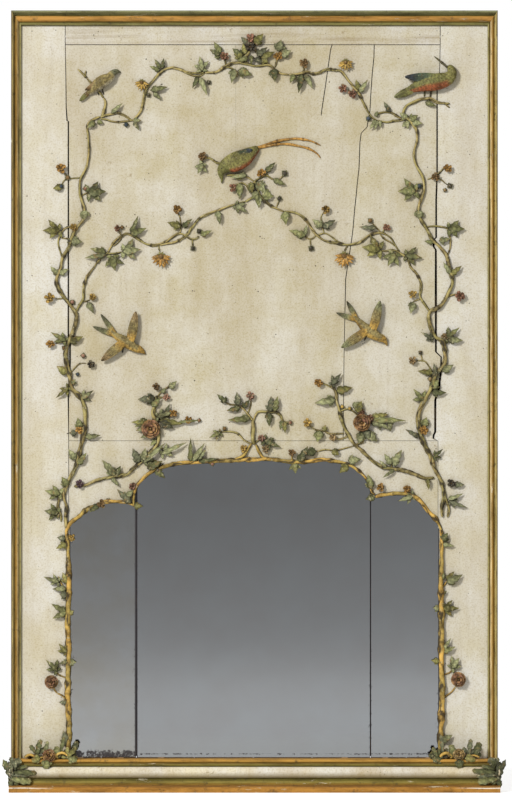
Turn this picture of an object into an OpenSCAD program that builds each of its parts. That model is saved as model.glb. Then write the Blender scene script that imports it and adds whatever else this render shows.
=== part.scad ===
// Overmantel mirror: painted boards, three mirror plates under a low arch, and carved
// flowering vines with birds, standing on a moulded base.
// Millimetres. X runs to the right, Z up, and the wall is the plane Y = 0 with the front at -Y.

/* [Overall] */
// Width over the side mouldings
frame_w = 1562; // [1540:2:1700]
// Height from the shelf to the top of the frame
frame_h = 2508; // [2490:2:2700]

/* [Boards] */
// Thickness of the front boards
board_t = 24; // [22:1:32]
// Thickness of the battens and back stiles
batten_t = 18; // [18:1:30]
// Height of a cross batten
batten_w = 70; // [50:2:90]
// Width of a back stile
back_stile_w = 36; // [30:2:44]
// Widest place of the shrinkage gap beside the left stile
left_gap_w = 4.5; // [1:0.5:7]
// Widest place of the shrinkage gap beside the right stile
right_gap_w = 7; // [1:0.5:9]
// Width of the cracks between and in the field boards
crack_w = 2; // [1:0.5:4]
// Open joint under the top rail
top_joint_gap = 1.5; // [0.5:0.5:3]
// Open joint over the arch rail
arch_joint_gap = 1.2; // [0.4:0.2:2.4]
// Left edge of the middle field board
middle_board_x = -60; // [-100:5:-40]

/* [Tenons and dowels] */
// Thickness of the rail tenons
tenon_t = 8; // [6:1:10]
// Length of the rail tenons
tenon_l = 40; // [25:5:60]
// Height of the rail tenons
tenon_h = 60; // [40:5:70]
// Clearance of a tenon in its mortise
tenon_play = 0.2; // [0.1:0.1:0.4]
// Radius of the dowels between the base and the stiles
dowel_r = 6; // [4:0.5:8]
// Length of the dowels
dowel_l = 80; // [60:5:100]
// Clearance round a dowel
dowel_play = 0.15; // [0.05:0.05:0.3]

/* [Glass] */
// Thickness of the mirror plates
glass_t = 5; // [3:0.5:6]
// Thickness of the front lip that holds the plates
lip_t = 8; // [6:1:10]
// Half width of the glazed opening
opening_hw = 594; // [590:1:597]
// Depth of the rebate in the stiles
rebate_w = 12; // [8:1:16]
// Play between a plate and the rebate
glass_play = 2; // [1:0.5:4]
// Gap between two plates
seam_w = 2; // [1:0.5:3]
// Left seam between the plates
left_seam_x = -380; // [-384:1:-376]
// Right seam between the plates
right_seam_x = 373; // [369:1:377]
// Height of the setting slips under the plates
slip_h = 3; // [2:0.5:5]
// Length of a setting slip
slip_l = 20; // [15:5:40]
// Gap between the planks of the backboards
plank_gap = 2; // [1:0.5:4]
// Thickness of the linen glued over the joints
linen_t = 1; // [0.6:0.2:2]

/* [Base] */
// Thickness of the plinth board
plinth_h = 22; // [18:1:30]
// Depth of the plinth board from the wall
plinth_d = 112; // [110:1:130]
// Overhang of the plinth board at each end
plinth_over = 6.5; // [6:0.5:16]
// Height of the hollow foot moulding
foot_h = 24; // [18:1:32]
// Depth of the foot moulding at its top
foot_d = 88; // [84:1:90]
// How far the hollow flares out at its foot
foot_flare = 16; // [8:1:18]
// Height of the rounded frieze
frieze_h = 36; // [28:1:48]
// Depth of the frieze at its edges
frieze_d = 92; // [88:1:96]
// How far the frieze swells out
frieze_swell = 12; // [6:1:14]
// Thickness of the sill board
sill_h = 24; // [22:1:32]
// Depth of the sill board
sill_d = 98; // [94:1:104]
// Depth of the core rail inside the base
core_d = 60; // [50:2:70]
// How far the core rail stops short of the frame's side
core_inset = 41; // [30:1:60]

/* [Mouldings] */
// Width of the side mouldings
side_mould_w = 32; // [28:1:40]
// Height of the top moulding
top_mould_h = 48; // [40:1:60]
// Projection of the mouldings in front of the boards
mould_d = 26; // [20:1:32]

/* [Fastenings] */
// Radius of the batten screws
screw_r = 2.5; // [2:0.25:3]
// Length of the batten screws
screw_l = 30; // [26:1:34]
// Radius of a screw head
head_r = 5; // [4:0.5:6]
// Clearance round a screw
screw_play = 0.1; // [0.05:0.05:0.2]
// Length of a hanging plate
plate_l = 100; // [80:5:120]
// Height of a hanging plate
plate_w = 40; // [34:2:46]
// Thickness of a hanging plate
plate_t = 4; // [3:0.5:6]
// Radius of the bolt hole in a hanging plate
bolt_hole_r = 5.5; // [4:0.5:7]
// Radius of the sinking for the bolt head behind a plate
bolt_sink_r = 14; // [10:1:16]
// Depth of that sinking
bolt_sink_d = 12; // [8:1:13]
// Distance of the hanging plates from the centre line
plate_x = 500; // [480:5:560]
// Radius of the plate screws
plate_screw_r = 2; // [1.5:0.25:2.5]
// Length of the plate screws
plate_screw_l = 15; // [12:1:17]

/* [Hidden] */
$fn = 40;
e = 0.5;
hw = frame_w / 2;
board_y = batten_t;
panel_y = batten_t + board_t;
base_h = plinth_h + foot_h + frieze_h + sill_h;
layout_drop = 6;
layout_hw = 781;
layout_h = 2408;
field_z = base_h - layout_drop;
spring_z = field_z + 700;
arch_top = spring_z + 326;
arch_foot = spring_z + 155;
top_rail_z = frame_h - 108;
glass_front = panel_y - lip_t;
glass_back = glass_front - glass_t;
side_glass_top = spring_z + 168;
centre_glass_top = spring_z + 294;
core_hw = hw - core_inset;
foot_z = plinth_h;
frieze_z = foot_z + foot_h;
sill_z = frieze_z + frieze_h;
back_hw = hw - back_stile_w;

// Paint and finish
cream = "#D7CFBC";
pine = "#A8865A";
green_paint = "#7C7C46";
ochre_paint = "#B98A3E";
bark = "#9A7C3E";
leaf_green = "#6F7B57";
petal_orange = "#C07A28";
petal_red = "#B0644A";
petal_yellow = "#B8923A";
mirror_grey = "#8F9498";
iron = "#4A4744";
linen = "#8C8068";

// Shrinkage gaps and cracks, as [x, height above the layout line, share of the widest place]
left_gap = [[-597, 745, 0.4], [-597, 1026, 0.4], [-598, 1175], [-592, 1280], [-592, 1340],
    [-598, 1345], [-598, 2053, 0.8], [-602, 2055, 0.8], [-605, 2100, 0.5], [-606, 2200, 0.4],
    [-608, 2300, 0.3]];
right_gap = [[590, 745, 0.2], [590, 1026, 0.2], [575, 1034, 0.8], [576, 1045], [581, 1055],
    [581, 1158], [592, 1190], [599, 1250, 0.9], [600, 1296, 0.6], [583, 1312, 0.8], [583, 1500],
    [583, 1640, 0.8], [576, 1650, 0.8], [576, 1672, 0.8], [584, 1680, 0.7], [584, 1800, 0.7],
    [587, 1885, 0.6], [587, 2050, 0.6], [587, 2190, 0.4], [595, 2210, 0.2], [597, 2300, 0.2]];
field_crack = [[285, 1026], [288, 1300], [293, 1545], [301, 1600], [308, 1645], [312, 1670],
    [317, 1710], [322, 1770], [327, 1815], [331, 1860], [336, 1900], [339, 1985], [343, 2015],
    [362, 2035], [371, 2085], [374, 2140], [378, 2200], [384, 2260], [385, 2300]];
short_crack = [[214, 2070], [218, 2100], [228, 2165], [240, 2250], [245, 2285], [250, 2300]];

// Arch over the plates, as [x, height above the spring line]
arch_left = [[-603, 40], [-592, 62], [-565, 82], [-540, 105], [-512, 118], [-480, 130], [-440, 131],
    [-405, 127], [-388, 118]];
arch_mid = [[-388, 155], [-378, 183], [-355, 208], [-330, 228], [-300, 240], [-262, 251],
    [-225, 256], [-150, 260], [-70, 264], [50, 267], [90, 262], [130, 258], [170, 259], [215, 266],
    [250, 262], [285, 255], [315, 244], [340, 226], [358, 206], [371, 182], [380, 155]];
arch_right = [[386, 146], [410, 152], [445, 157], [482, 156], [512, 149], [535, 130], [558, 100],
    [580, 78], [593, 58], [600, 40]];

batten_z = [field_z + 50, field_z + 520, spring_z + 290, spring_z + 400, spring_z + 760,
    frame_h - 538, frame_h - 123];
plate_z = [batten_z[1], batten_z[6]];
stile_w = hw - opening_hw - rebate_w;
dowel_x = [hw - 0.8 * stile_w, hw - 0.52 * stile_w];
dowel_foot = base_h - 10 - dowel_l / 2;
stile_screws = [for (z = batten_z) for (s = [-1, 1]) [s * (hw - 91), z]];
board_screws = concat([[-400, batten_z[2]], [400, batten_z[2]]],
    [for (k = [3:6]) for (x = [-400, -150, 150, 400]) [x, batten_z[k]]]);
plate_holes = [for (z = plate_z) for (s = [-1, 1]) [s * plate_x, z]];
plate_screw_at = [for (h = plate_holes) for (s = [-1, 1]) [h[0] + s * (plate_l / 2 - 12), h[1]]];
plank_edges = [[-opening_hw - rebate_w + glass_play, -493, side_glass_top],
    [-493, left_seam_x, side_glass_top], [left_seam_x, -193, centre_glass_top],
    [-193, -4, centre_glass_top], [-4, 185, centre_glass_top],
    [185, right_seam_x, centre_glass_top], [right_seam_x, 488, side_glass_top],
    [488, opening_hw + rebate_w - glass_play, side_glass_top]];

linen_play = 0.3;
function bay(k) = [batten_z[k] + batten_w / 2 + linen_play,
    batten_z[k + 1] - batten_w / 2 - linen_play];

// Linen strips, as [x, half width, foot, head]
linen_rows = concat([for (k = [1:5]) for (x = [-600, 587])
        [x, 17, max(bay(k)[0], field_z + 735), bay(k)[1]]],
    [for (k = [0:1]) for (x = [left_seam_x, right_seam_x]) [x, 17, bay(k)[0], bay(k)[1]]],
    [for (r = [[288, 17, 2], [289, 17, 3], [310, 30, 4], [361, 36, 5]])
        [r[0], r[1], bay(r[2])[0], bay(r[2])[1]]],
    [[232, 28, field_z + 2060, bay(5)[1]]]);

// Working parts

// Polygon in X and Z, from y0 to y1 in front of the wall.
module sheet(points, y0, y1) {
    translate([0, -y0, 0])
        rotate([90, 0, 0])
            linear_extrude(y1 - y0)
                polygon(points);
}

// Box from x0 to x1 and z0 to z1, from y0 to y1 in front of the wall.
module slab(x0, x1, z0, z1, y0, y1) {
    translate([x0, -y1, z0])
        cube([x1 - x0, y1 - y0, z1 - z0]);
}

// Round hole or pin along Y, from y0 to y1 in front of the wall.
module pin(x, z, r, y0, y1) {
    translate([x, -y0, z])
        rotate([90, 0, 0])
            cylinder(r = r, h = y1 - y0);
}

// Wood screw along Y with a countersunk head flush at y0.
module screw(x, z, r, big, length, y0) {
    pin(x, z, r, y0, y0 + length);
    translate([x, -y0, z])
        rotate([90, 0, 0])
            cylinder(r1 = big, r2 = r, h = big - r);
}

// X of an upright line at height z, moved sideways by its share of the shift there.
function share(p) = len(p) > 2 ? p[2] : 1;
function line_x(line, z, shift = 0) = lookup(z, [for (p = line) [p[1] + field_z,
    p[0] + shift * share(p)]]);

// The part of an upright line between two heights, moved sideways.
function edge(line, z0, z1, shift) = concat([[line_x(line, z0, shift), z0]],
    [for (p = line) if (p[1] + field_z > z0 && p[1] + field_z < z1)
        [p[0] + shift * share(p), p[1] + field_z]],
    [[line_x(line, z1, shift), z1]]);

function turned(list) = [for (k = [len(list) - 1:-1:0]) list[k]];
function mirrored(list) = [for (p = turned(list)) [-p[0], p[1]]];
function raised(list, dz) = [for (p = list) [p[0], p[1] + dz]];

// Space behind the lip for the plates and their backboards.
module glass_pocket() {
    edge_x = opening_hw + rebate_w;
    sheet([[-edge_x, base_h - e], [edge_x, base_h - e], [edge_x, side_glass_top + glass_play],
        [right_seam_x, side_glass_top + glass_play], [right_seam_x, centre_glass_top + glass_play],
        [left_seam_x, centre_glass_top + glass_play], [left_seam_x, side_glass_top + glass_play],
        [-edge_x, side_glass_top + glass_play]], board_y - e, glass_front);
}

module pilot_holes(list, y1) {
    for (p = list)
        pin(p[0], p[1], screw_r + screw_play, board_y - e, y1);
}

// Tenon from x0 outward by its length; side is -1 or 1.
module tenon(x0, z, side, play) {
    reach = tenon_l + 8 + play;
    slab(min(x0 - side * 8, x0 + side * (reach - 8)), max(x0 - side * 8, x0 + side * (reach - 8)),
        z - play, z + tenon_h + play, board_y + (board_t - tenon_t) / 2 - play,
        board_y + (board_t + tenon_t) / 2 + play);
}

arch_tenon_z = spring_z + 215;
top_tenon_z = top_rail_z + 30;

module stile_mortises(line, side) {
    tenon(line_x(line, arch_tenon_z), arch_tenon_z, side, tenon_play);
    tenon(line_x(line, top_tenon_z), top_tenon_z, side, tenon_play);
}

module dowel_holes(side) {
    for (x = dowel_x)
        translate([side * x, -board_y - board_t / 2, dowel_foot - dowel_play])
            cylinder(r = dowel_r + dowel_play, h = dowel_l + 2 * dowel_play);
}

// Carcase

module left_stile() {
    color(cream)
        difference() {
            sheet(concat([[-hw, frame_h], [-hw, base_h], [-opening_hw, base_h],
                [-opening_hw, spring_z + 45]],
                edge(left_gap, spring_z + 45, frame_h, -left_gap_w / 2)), board_y, panel_y);
            glass_pocket();
            stile_mortises(left_gap, -1);
            dowel_holes(-1);
            pilot_holes([for (p = stile_screws) if (p[0] < 0) p], screw_l + screw_play);
        }
}

module right_stile() {
    color(cream)
        difference() {
            sheet(concat([[hw, frame_h], [hw, base_h], [opening_hw, base_h],
                [opening_hw, spring_z + 45]],
                edge(right_gap, spring_z + 45, frame_h, right_gap_w / 2)), board_y, panel_y);
            glass_pocket();
            stile_mortises(right_gap, 1);
            dowel_holes(1);
            pilot_holes([for (p = stile_screws) if (p[0] > 0) p], screw_l + screw_play);
        }
}

module top_rail() {
    x0 = left_gap_w / 2;
    x1 = -right_gap_w / 2;
    color(cream)
        union() {
            sheet(concat(edge(left_gap, top_rail_z, frame_h, x0),
                turned(edge(right_gap, top_rail_z, frame_h, x1))), board_y, panel_y);
            tenon(line_x(left_gap, top_tenon_z, x0), top_tenon_z, -1, 0);
            tenon(line_x(right_gap, top_tenon_z, x1), top_tenon_z, 1, 0);
        }
}

// A field board with its pilot holes between x0 and x1.
module field_board(outline, x0, x1) {
    color(cream)
        difference() {
            sheet(outline, board_y, panel_y);
            pilot_holes([for (p = board_screws) if (p[0] > x0 && p[0] < x1 && p[1] > board_foot) p],
                screw_l + screw_play);
        }
}

board_foot = arch_top + arch_joint_gap;
board_head = top_rail_z - top_joint_gap;

module left_board() {
    field_board(concat(edge(left_gap, board_foot, board_head, left_gap_w / 2),
        [[middle_board_x, board_head], [middle_board_x, board_foot]]), -hw, middle_board_x);
}

module middle_board() {
    slit = crack_w / 2;
    low = field_z + short_crack[0][1];
    field_board(concat([[middle_board_x, board_foot], [middle_board_x, board_head]],
        turned(edge(short_crack, low + 6, board_head, -slit)),
        edge(short_crack, low, board_head, slit),
        turned(edge(field_crack, board_foot, board_head, -slit))), middle_board_x, 300);
}

module right_board() {
    field_board(concat(edge(field_crack, board_foot, board_head, crack_w / 2),
        turned(edge(right_gap, board_foot, board_head, -right_gap_w / 2))), 300, hw);
}

module arch_rail() {
    x0 = left_gap_w / 2;
    x1 = -right_gap_w / 2;
    color(cream)
        difference() {
            union() {
                sheet(concat(edge(left_gap, arch_foot, arch_top, x0),
                    turned(edge(right_gap, arch_foot, arch_top, x1)),
                    turned(raised(arch_mid, spring_z))), board_y, panel_y);
                tenon(line_x(left_gap, arch_tenon_z, x0), arch_tenon_z, -1, 0);
                tenon(line_x(right_gap, arch_tenon_z, x1), arch_tenon_z, 1, 0);
            }
            glass_pocket();
            pilot_holes([for (p = board_screws) if (p[1] < arch_top) p], screw_l + screw_play);
        }
}

module left_spandrel() {
    x0 = line_x(left_gap, arch_foot, left_gap_w / 2);
    inner = [for (p = arch_left) if (p[0] > x0 + 2) [p[0], p[1] + spring_z]];
    color(cream)
        difference() {
            sheet(concat([[x0, spring_z + 56]], inner,
                [[arch_left[8][0], arch_foot], [x0, arch_foot]]), board_y, panel_y);
            glass_pocket();
        }
}

module right_spandrel() {
    x1 = line_x(right_gap, arch_foot, -right_gap_w / 2);
    inner = [for (p = arch_right) if (p[0] > 500 && p[0] < x1 - 2) [p[0], p[1] + spring_z]];
    color(cream)
        difference() {
            sheet(concat([[505, arch_foot]], inner, [[x1, spring_z + 66], [x1, arch_foot]]),
                board_y, panel_y);
            glass_pocket();
        }
}

// Outer mouldings

// Points of a half round from u0 to u1 that stands on base and is high at its middle.
function half_round(u0, u1, base, high) = [for (k = [0:8])
    [(u0 + u1) / 2 - (u1 - u0) / 2 * cos(k * 22.5), base + (high - base) * sin(k * 22.5)]];

// Points of a hollow that climbs from [u0, base] to [u1, high].
function hollow(u0, u1, base, high) = [for (k = [0:5])
    [u0 + (u1 - u0) * sin(k * 18), base + (high - base) * (1 - cos(k * 18))]];

// Section as [distance from the inner edge, projection].
function mould_section(width, bead_w, quirk_w, cove_w, fillet_w) =
    let (round_end = width - cove_w - fillet_w)
    concat([[0, 0]], half_round(0, bead_w, 4, 9),
    half_round(bead_w + quirk_w, round_end, 4, mould_d - 10),
    hollow(round_end, width - fillet_w, 8, mould_d - 2),
    [[width - fillet_w, mould_d], [width, mould_d], [width, 0]]);

side_section = mould_section(side_mould_w, 6, 3, 6, 5);
top_section = mould_section(top_mould_h, 10, 2, 9, 6);
mitre_left = [[-hw, base_h], [-hw, frame_h], [side_mould_w - hw, frame_h - top_mould_h],
    [side_mould_w - hw, base_h]];
mitre_top = [[-hw, frame_h], [hw, frame_h], [hw - side_mould_w, frame_h - top_mould_h],
    [side_mould_w - hw, frame_h - top_mould_h]];

module side_moulding() {
    intersection() {
        translate([side_mould_w - hw, -panel_y, base_h])
            linear_extrude(frame_h - base_h)
                polygon([for (p = side_section) [-p[0], -p[1]]]);
        sheet(mitre_left, panel_y, panel_y + mould_d + e);
    }
}

module left_moulding() {
    color(green_paint)
        side_moulding();
}

module right_moulding() {
    color(green_paint)
        mirror([1, 0, 0])
            side_moulding();
}

module top_moulding() {
    color(green_paint)
        intersection() {
            translate([-hw, -panel_y, frame_h - top_mould_h])
                rotate([90, 0, 90])
                    linear_extrude(frame_w)
                        polygon([for (p = top_section) [-p[1], p[0]]]);
            sheet(mitre_top, panel_y, panel_y + mould_d + e);
        }
}

// Base

// Half width of the base where its face is d in front of the wall.
function base_end(d) = hw + d - sill_d;

// A base moulding with the same section on its front and its two ends.
// The section is a list of [depth, height], from the bottom up.
module base_tier(section) {
    low = section[0][1];
    high = section[len(section) - 1][1];
    end_line = [for (p = section) [base_end(p[0]), p[1]]];
    intersection() {
        translate([-hw - 20, 0, 0])
            rotate([90, 0, 90])
                linear_extrude(frame_w + 40)
                    polygon(concat([[0, low]], [for (p = section) [-p[0], p[1]]], [[0, high]]));
        sheet(concat(end_line, mirrored(end_line)), -e, plinth_d);
    }
}

foot_section = [for (k = [0:8]) [foot_d + foot_flare * (1 - sin(k * 11.25)),
    foot_z + foot_h * (1 - cos(k * 11.25))]];
frieze_section = [for (k = [0:12]) [frieze_d + frieze_swell * sin(k * 15),
    frieze_z + frieze_h * (1 - cos(k * 15)) / 2]];
// Two beads with a quirk between them
low_bead_r = 4.5;
top_bead_r = 5.5;
sill_section = concat([[sill_d - 6, sill_z]],
    [for (k = [0:6]) [sill_d - 6 + low_bead_r * sin(k * 30),
    sill_z + 1 + low_bead_r * (1 - cos(k * 30))]],
    [for (k = [0:6]) [sill_d - top_bead_r + top_bead_r * sin(k * 30),
    base_h - 2 * top_bead_r + top_bead_r * (1 - cos(k * 30))]]);

module core_space() {
    slab(-core_hw, core_hw, foot_z - e, sill_z + e, -e - 1, core_d);
}

module plinth_board() {
    color(ochre_paint)
        slab(-hw - plinth_over, hw + plinth_over, 0, plinth_h, 0, plinth_d);
}

module core_rail() {
    color(pine)
        difference() {
            slab(-core_hw, core_hw, foot_z, sill_z, 0, core_d);
            dowel_holes(-1);
            dowel_holes(1);
        }
}

module foot_moulding() {
    color(green_paint)
        difference() {
            base_tier(foot_section);
            core_space();
        }
}

module frieze() {
    color(cream)
        difference() {
            base_tier(frieze_section);
            core_space();
        }
}

module sill_board() {
    color(ochre_paint)
        difference() {
            base_tier(sill_section);
            dowel_holes(-1);
            dowel_holes(1);
        }
}

module dowels() {
    color(pine)
        for (side = [-1, 1])
            for (x = dowel_x)
                translate([side * x, -board_y - board_t / 2, dowel_foot])
                    cylinder(r = dowel_r, h = dowel_l);
}

// Glass

glass_end = opening_hw + rebate_w - glass_play;
glass_foot = base_h + slip_h;

module left_plate() {
    color(mirror_grey)
        slab(-glass_end, left_seam_x - seam_w / 2, glass_foot, side_glass_top, glass_back, glass_front);
}

module centre_plate() {
    color(mirror_grey)
        slab(left_seam_x + seam_w / 2, right_seam_x - seam_w / 2, glass_foot, centre_glass_top,
            glass_back, glass_front);
}

module right_plate() {
    color(mirror_grey)
        slab(right_seam_x + seam_w / 2, glass_end, glass_foot, side_glass_top, glass_back, glass_front);
}

module setting_slips() {
    color(pine)
        for (x = [34 - opening_hw, -430, -300, 290, 420, opening_hw - 34])
            slab(x - slip_l / 2, x + slip_l / 2, base_h, glass_foot, glass_back, glass_front);
}

module backboards() {
    color(pine)
        for (p = plank_edges)
            slab(p[0] + plank_gap / 2, p[1] - plank_gap / 2, base_h, p[2], board_y, glass_back);
}

// Back

// Linen glued over the open joints behind the boards, cut short at each batten.
module joint_linens() {
    color(linen) {
        for (r = linen_rows)
            slab(r[0] - r[1], r[0] + r[1], r[2], r[3], board_y - linen_t, board_y);
        slab(-590, 580, batten_z[2] + batten_w / 2 + 0.2, batten_z[2] + batten_w / 2 + 24,
            board_y - linen_t, board_y);
    }
}

module left_back_stile() {
    color(pine)
        slab(-hw, -back_hw, base_h, frame_h, 0, board_y);
}

module right_back_stile() {
    color(pine)
        slab(back_hw, hw, base_h, frame_h, 0, board_y);
}

module plate_space(x, z) {
    slab(x - plate_l / 2, x + plate_l / 2, z - plate_w / 2, z + plate_w / 2, -e, plate_t);
    pin(x, z, bolt_sink_r, plate_t - e, plate_t + bolt_sink_d);
}

module cross_battens() {
    color(pine)
        difference() {
            for (z = batten_z)
                slab(-back_hw, back_hw, z - batten_w / 2, z + batten_w / 2, 0, board_y);
            for (p = concat(stile_screws, board_screws)) {
                pin(p[0], p[1], screw_r + screw_play, -e, board_y + e);
                screw(p[0], p[1], screw_r, head_r + screw_play, 5, 0);
            }
            for (h = plate_holes)
                plate_space(h[0], h[1]);
            for (p = plate_screw_at)
                pin(p[0], p[1], plate_screw_r + screw_play, plate_t - e, plate_screw_l + screw_play);
        }
}

module batten_screws() {
    color(iron)
        for (p = concat(stile_screws, board_screws))
            screw(p[0], p[1], screw_r, head_r, screw_l, 0);
}

module hanging_plates() {
    color(iron)
        for (h = plate_holes)
            difference() {
                slab(h[0] - plate_l / 2, h[0] + plate_l / 2, h[1] - plate_w / 2, h[1] + plate_w / 2,
                    0, plate_t);
                pin(h[0], h[1], bolt_hole_r, -e, plate_t + e);
                for (s = [-1, 1])
                    screw(h[0] + s * (plate_l / 2 - 12), h[1], plate_screw_r + screw_play,
                        2 * plate_screw_r + screw_play, plate_t + e, 0);
            }
}

module plate_screws() {
    color(iron)
        for (p = plate_screw_at)
            screw(p[0], p[1], plate_screw_r, 2 * plate_screw_r, plate_screw_l, 0);
}

// Carving

// A point of a smooth run between b and c, with a and d beyond them.
function bend(a, b, c, d, t) = 0.5 * (2 * b + (c - a) * t + (2 * a - 5 * b + 4 * c - d) * t * t
    + (3 * b - a - 3 * c + d) * t * t * t);

// A smooth run through the points, with a point about every step.
function smooth(p, step) = concat([for (i = [0:len(p) - 2])
    let (n = max(1, round(norm(p[i + 1] - p[i]) / step)), last = len(p) - 1)
    for (k = [0:n - 1]) bend(p[max(i - 1, 0)], p[i], p[i + 1], p[min(i + 2, last)], k / n)],
    [p[len(p) - 1]]);

// A ring of n points round [x, z], out in front of the back plane.
function ring(x, z, r, out, n) = [for (k = [0:n - 1])
    [x + r * cos(k * 360 / n), -out, z + r * sin(k * 360 / n)]];

// The rounded block that wraps a set of points.
module solid(p) {
    hull()
        polyhedron(points = p, faces = [for (i = [0:len(p) - 3]) [i, i + 1, i + 2]]);
}

stem_step = 42;
stem_relief = 0.8;

// Stem w wide with a flat back, along a smooth run of [x, z] points, thinner at its end.
// A twig has a plain ridge, and a stouter stem has more faces to its back.
module stem(w, points) {
    run = smooth(points, stem_step);
    n = len(run) - 1;
    half = w < 8 ? [[1, 0], [0, 1], [-1, 0]] :
        w < 13 ? [[1, 0], [0.6, 0.85], [-0.6, 0.85], [-1, 0]] :
        [[1, 0], [0.7, 0.7], [0, 1], [-0.7, 0.7], [-1, 0]];
    m = len(half);
    polyhedron(points = [for (i = [0:n])
        let (way = run[min(i + 1, n)] - run[max(i - 1, 0)], fat = w * (i == n ? 0.6 : 1),
            side = [-way[1], way[0]] / norm(way) * fat / 2)
        for (q = half) [run[i][0] + side[0] * q[0], -stem_relief * fat * q[1],
            run[i][1] + side[1] * q[0]]],
        faces = concat([[for (k = [0:m - 1]) k]], [[for (k = [m - 1:-1:0]) m * n + k]],
        [for (i = [0:n - 1]) for (k = [0:m - 1]) let (a = m * i + k, b = m * i + (k + 1) % m)
            each [[a, a + m, b + m], [a, b + m, b]]]));
}

// One pointed lobe from the origin along X.
module lobe(l, w) {
    h = 4 + 0.2 * w;
    solid([[0, 0, 0], [0.3 * l, 0, w / 2], [0.64 * l, 0, 0.42 * w], [l, 0, 0],
        [0.64 * l, 0, -0.42 * w], [0.3 * l, 0, -w / 2], [0.1 * l, -0.4 * h, 0], [0.45 * l, -h, 0],
        [0.85 * l, -h / 2, 0]]);
}

// Leaves, each row [base x, base z, tip x, tip z, width, lobes].
module leaves(rows) {
    for (q = rows) {
        l = norm([q[2] - q[0], q[3] - q[1]]);
        translate([q[0], 0, q[1]])
            rotate([0, -atan2(q[3] - q[1], q[2] - q[0]), 0]) {
                lobe(l, q[5] == 3 ? q[4] * 0.6 : q[4]);
                if (q[5] == 3)
                    for (s = [-1, 1])
                        translate([0.15 * l, 0, 0])
                            rotate([0, s * atan2(q[4] / 2, 0.42 * l), 0])
                                lobe(norm([q[4] / 2, 0.42 * l]), q[4] * 0.4);
            }
    }
}

// A flat-backed whorl of n petals round [x, z] that stands h out.
module petals(x, z, r, n, h) {
    m = 2 * n;
    low = [for (k = [0:m - 1]) ring(x, z, r * (k % 2 == 0 ? 1 : 0.7), 0, m)[k]];
    polyhedron(points = concat(low, ring(x, z, 0.6 * r, h, n), [[x, -0.6 * h, z]]),
        faces = concat([[for (k = [0:m - 1]) k]],
        [for (k = [0:n - 1]) let (a = 2 * k, b = (a + m - 1) % m, c = m + (k + 1) % n, d = m + k)
            each [[b, d, a], [a, d, a + 1], [a + 1, d, c], [m + n, c, d]]]));
}

// Buds and berries, each row [x, z, radius].
module buds(rows) {
    for (q = rows)
        solid(concat(ring(q[0], q[1], q[2], 0, 6), ring(q[0], q[1], 0.7 * q[2], 0.6 * q[2] + 2, 6)));
}

// Open flowers, each row [x, z, radius].
module blooms(rows) {
    for (q = rows) {
        petals(q[0], q[1], q[2], 5, 5 + 0.3 * q[2]);
        solid(concat(ring(q[0], q[1], 0.4 * q[2], 0, 5), ring(q[0], q[1], 0.3 * q[2], 7 + 0.4 * q[2], 5)));
    }
}

// Full roses with an inner whorl, each row [x, z, radius].
module roses(rows) {
    for (q = rows) {
        petals(q[0], q[1], q[2], 7, 6 + 0.25 * q[2]);
        petals(q[0], q[1], 0.66 * q[2], 5, 8 + 0.45 * q[2]);
        solid(concat(ring(q[0], q[1], 0.3 * q[2], 0, 6), ring(q[0], q[1], 0.2 * q[2], 9 + 0.55 * q[2], 6)));
    }
}

// Rounded body through a chain of [x, z, radius, height] masses.
module masses(list) {
    for (i = [0:len(list) - 2])
        solid([for (b = [list[i], list[i + 1]]) each concat(ring(b[0], b[1], b[2], 0, 7),
            ring(b[0], b[1], 0.72 * b[2], 0.75 * b[3], 7), [[b[0], -b[3], b[1]]])]);
}

// Carving that lies on the boards, measured from the layout line above the shelf.
module on_field() {
    translate([0, -panel_y, field_z])
        scale([hw / layout_hw, 1, (frame_h - field_z) / layout_h])
            children();
}

// Carving that lies on the boards, measured from the spring line of the arch.
module on_spring() {
    translate([0, -panel_y, spring_z])
        children();
}

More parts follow.
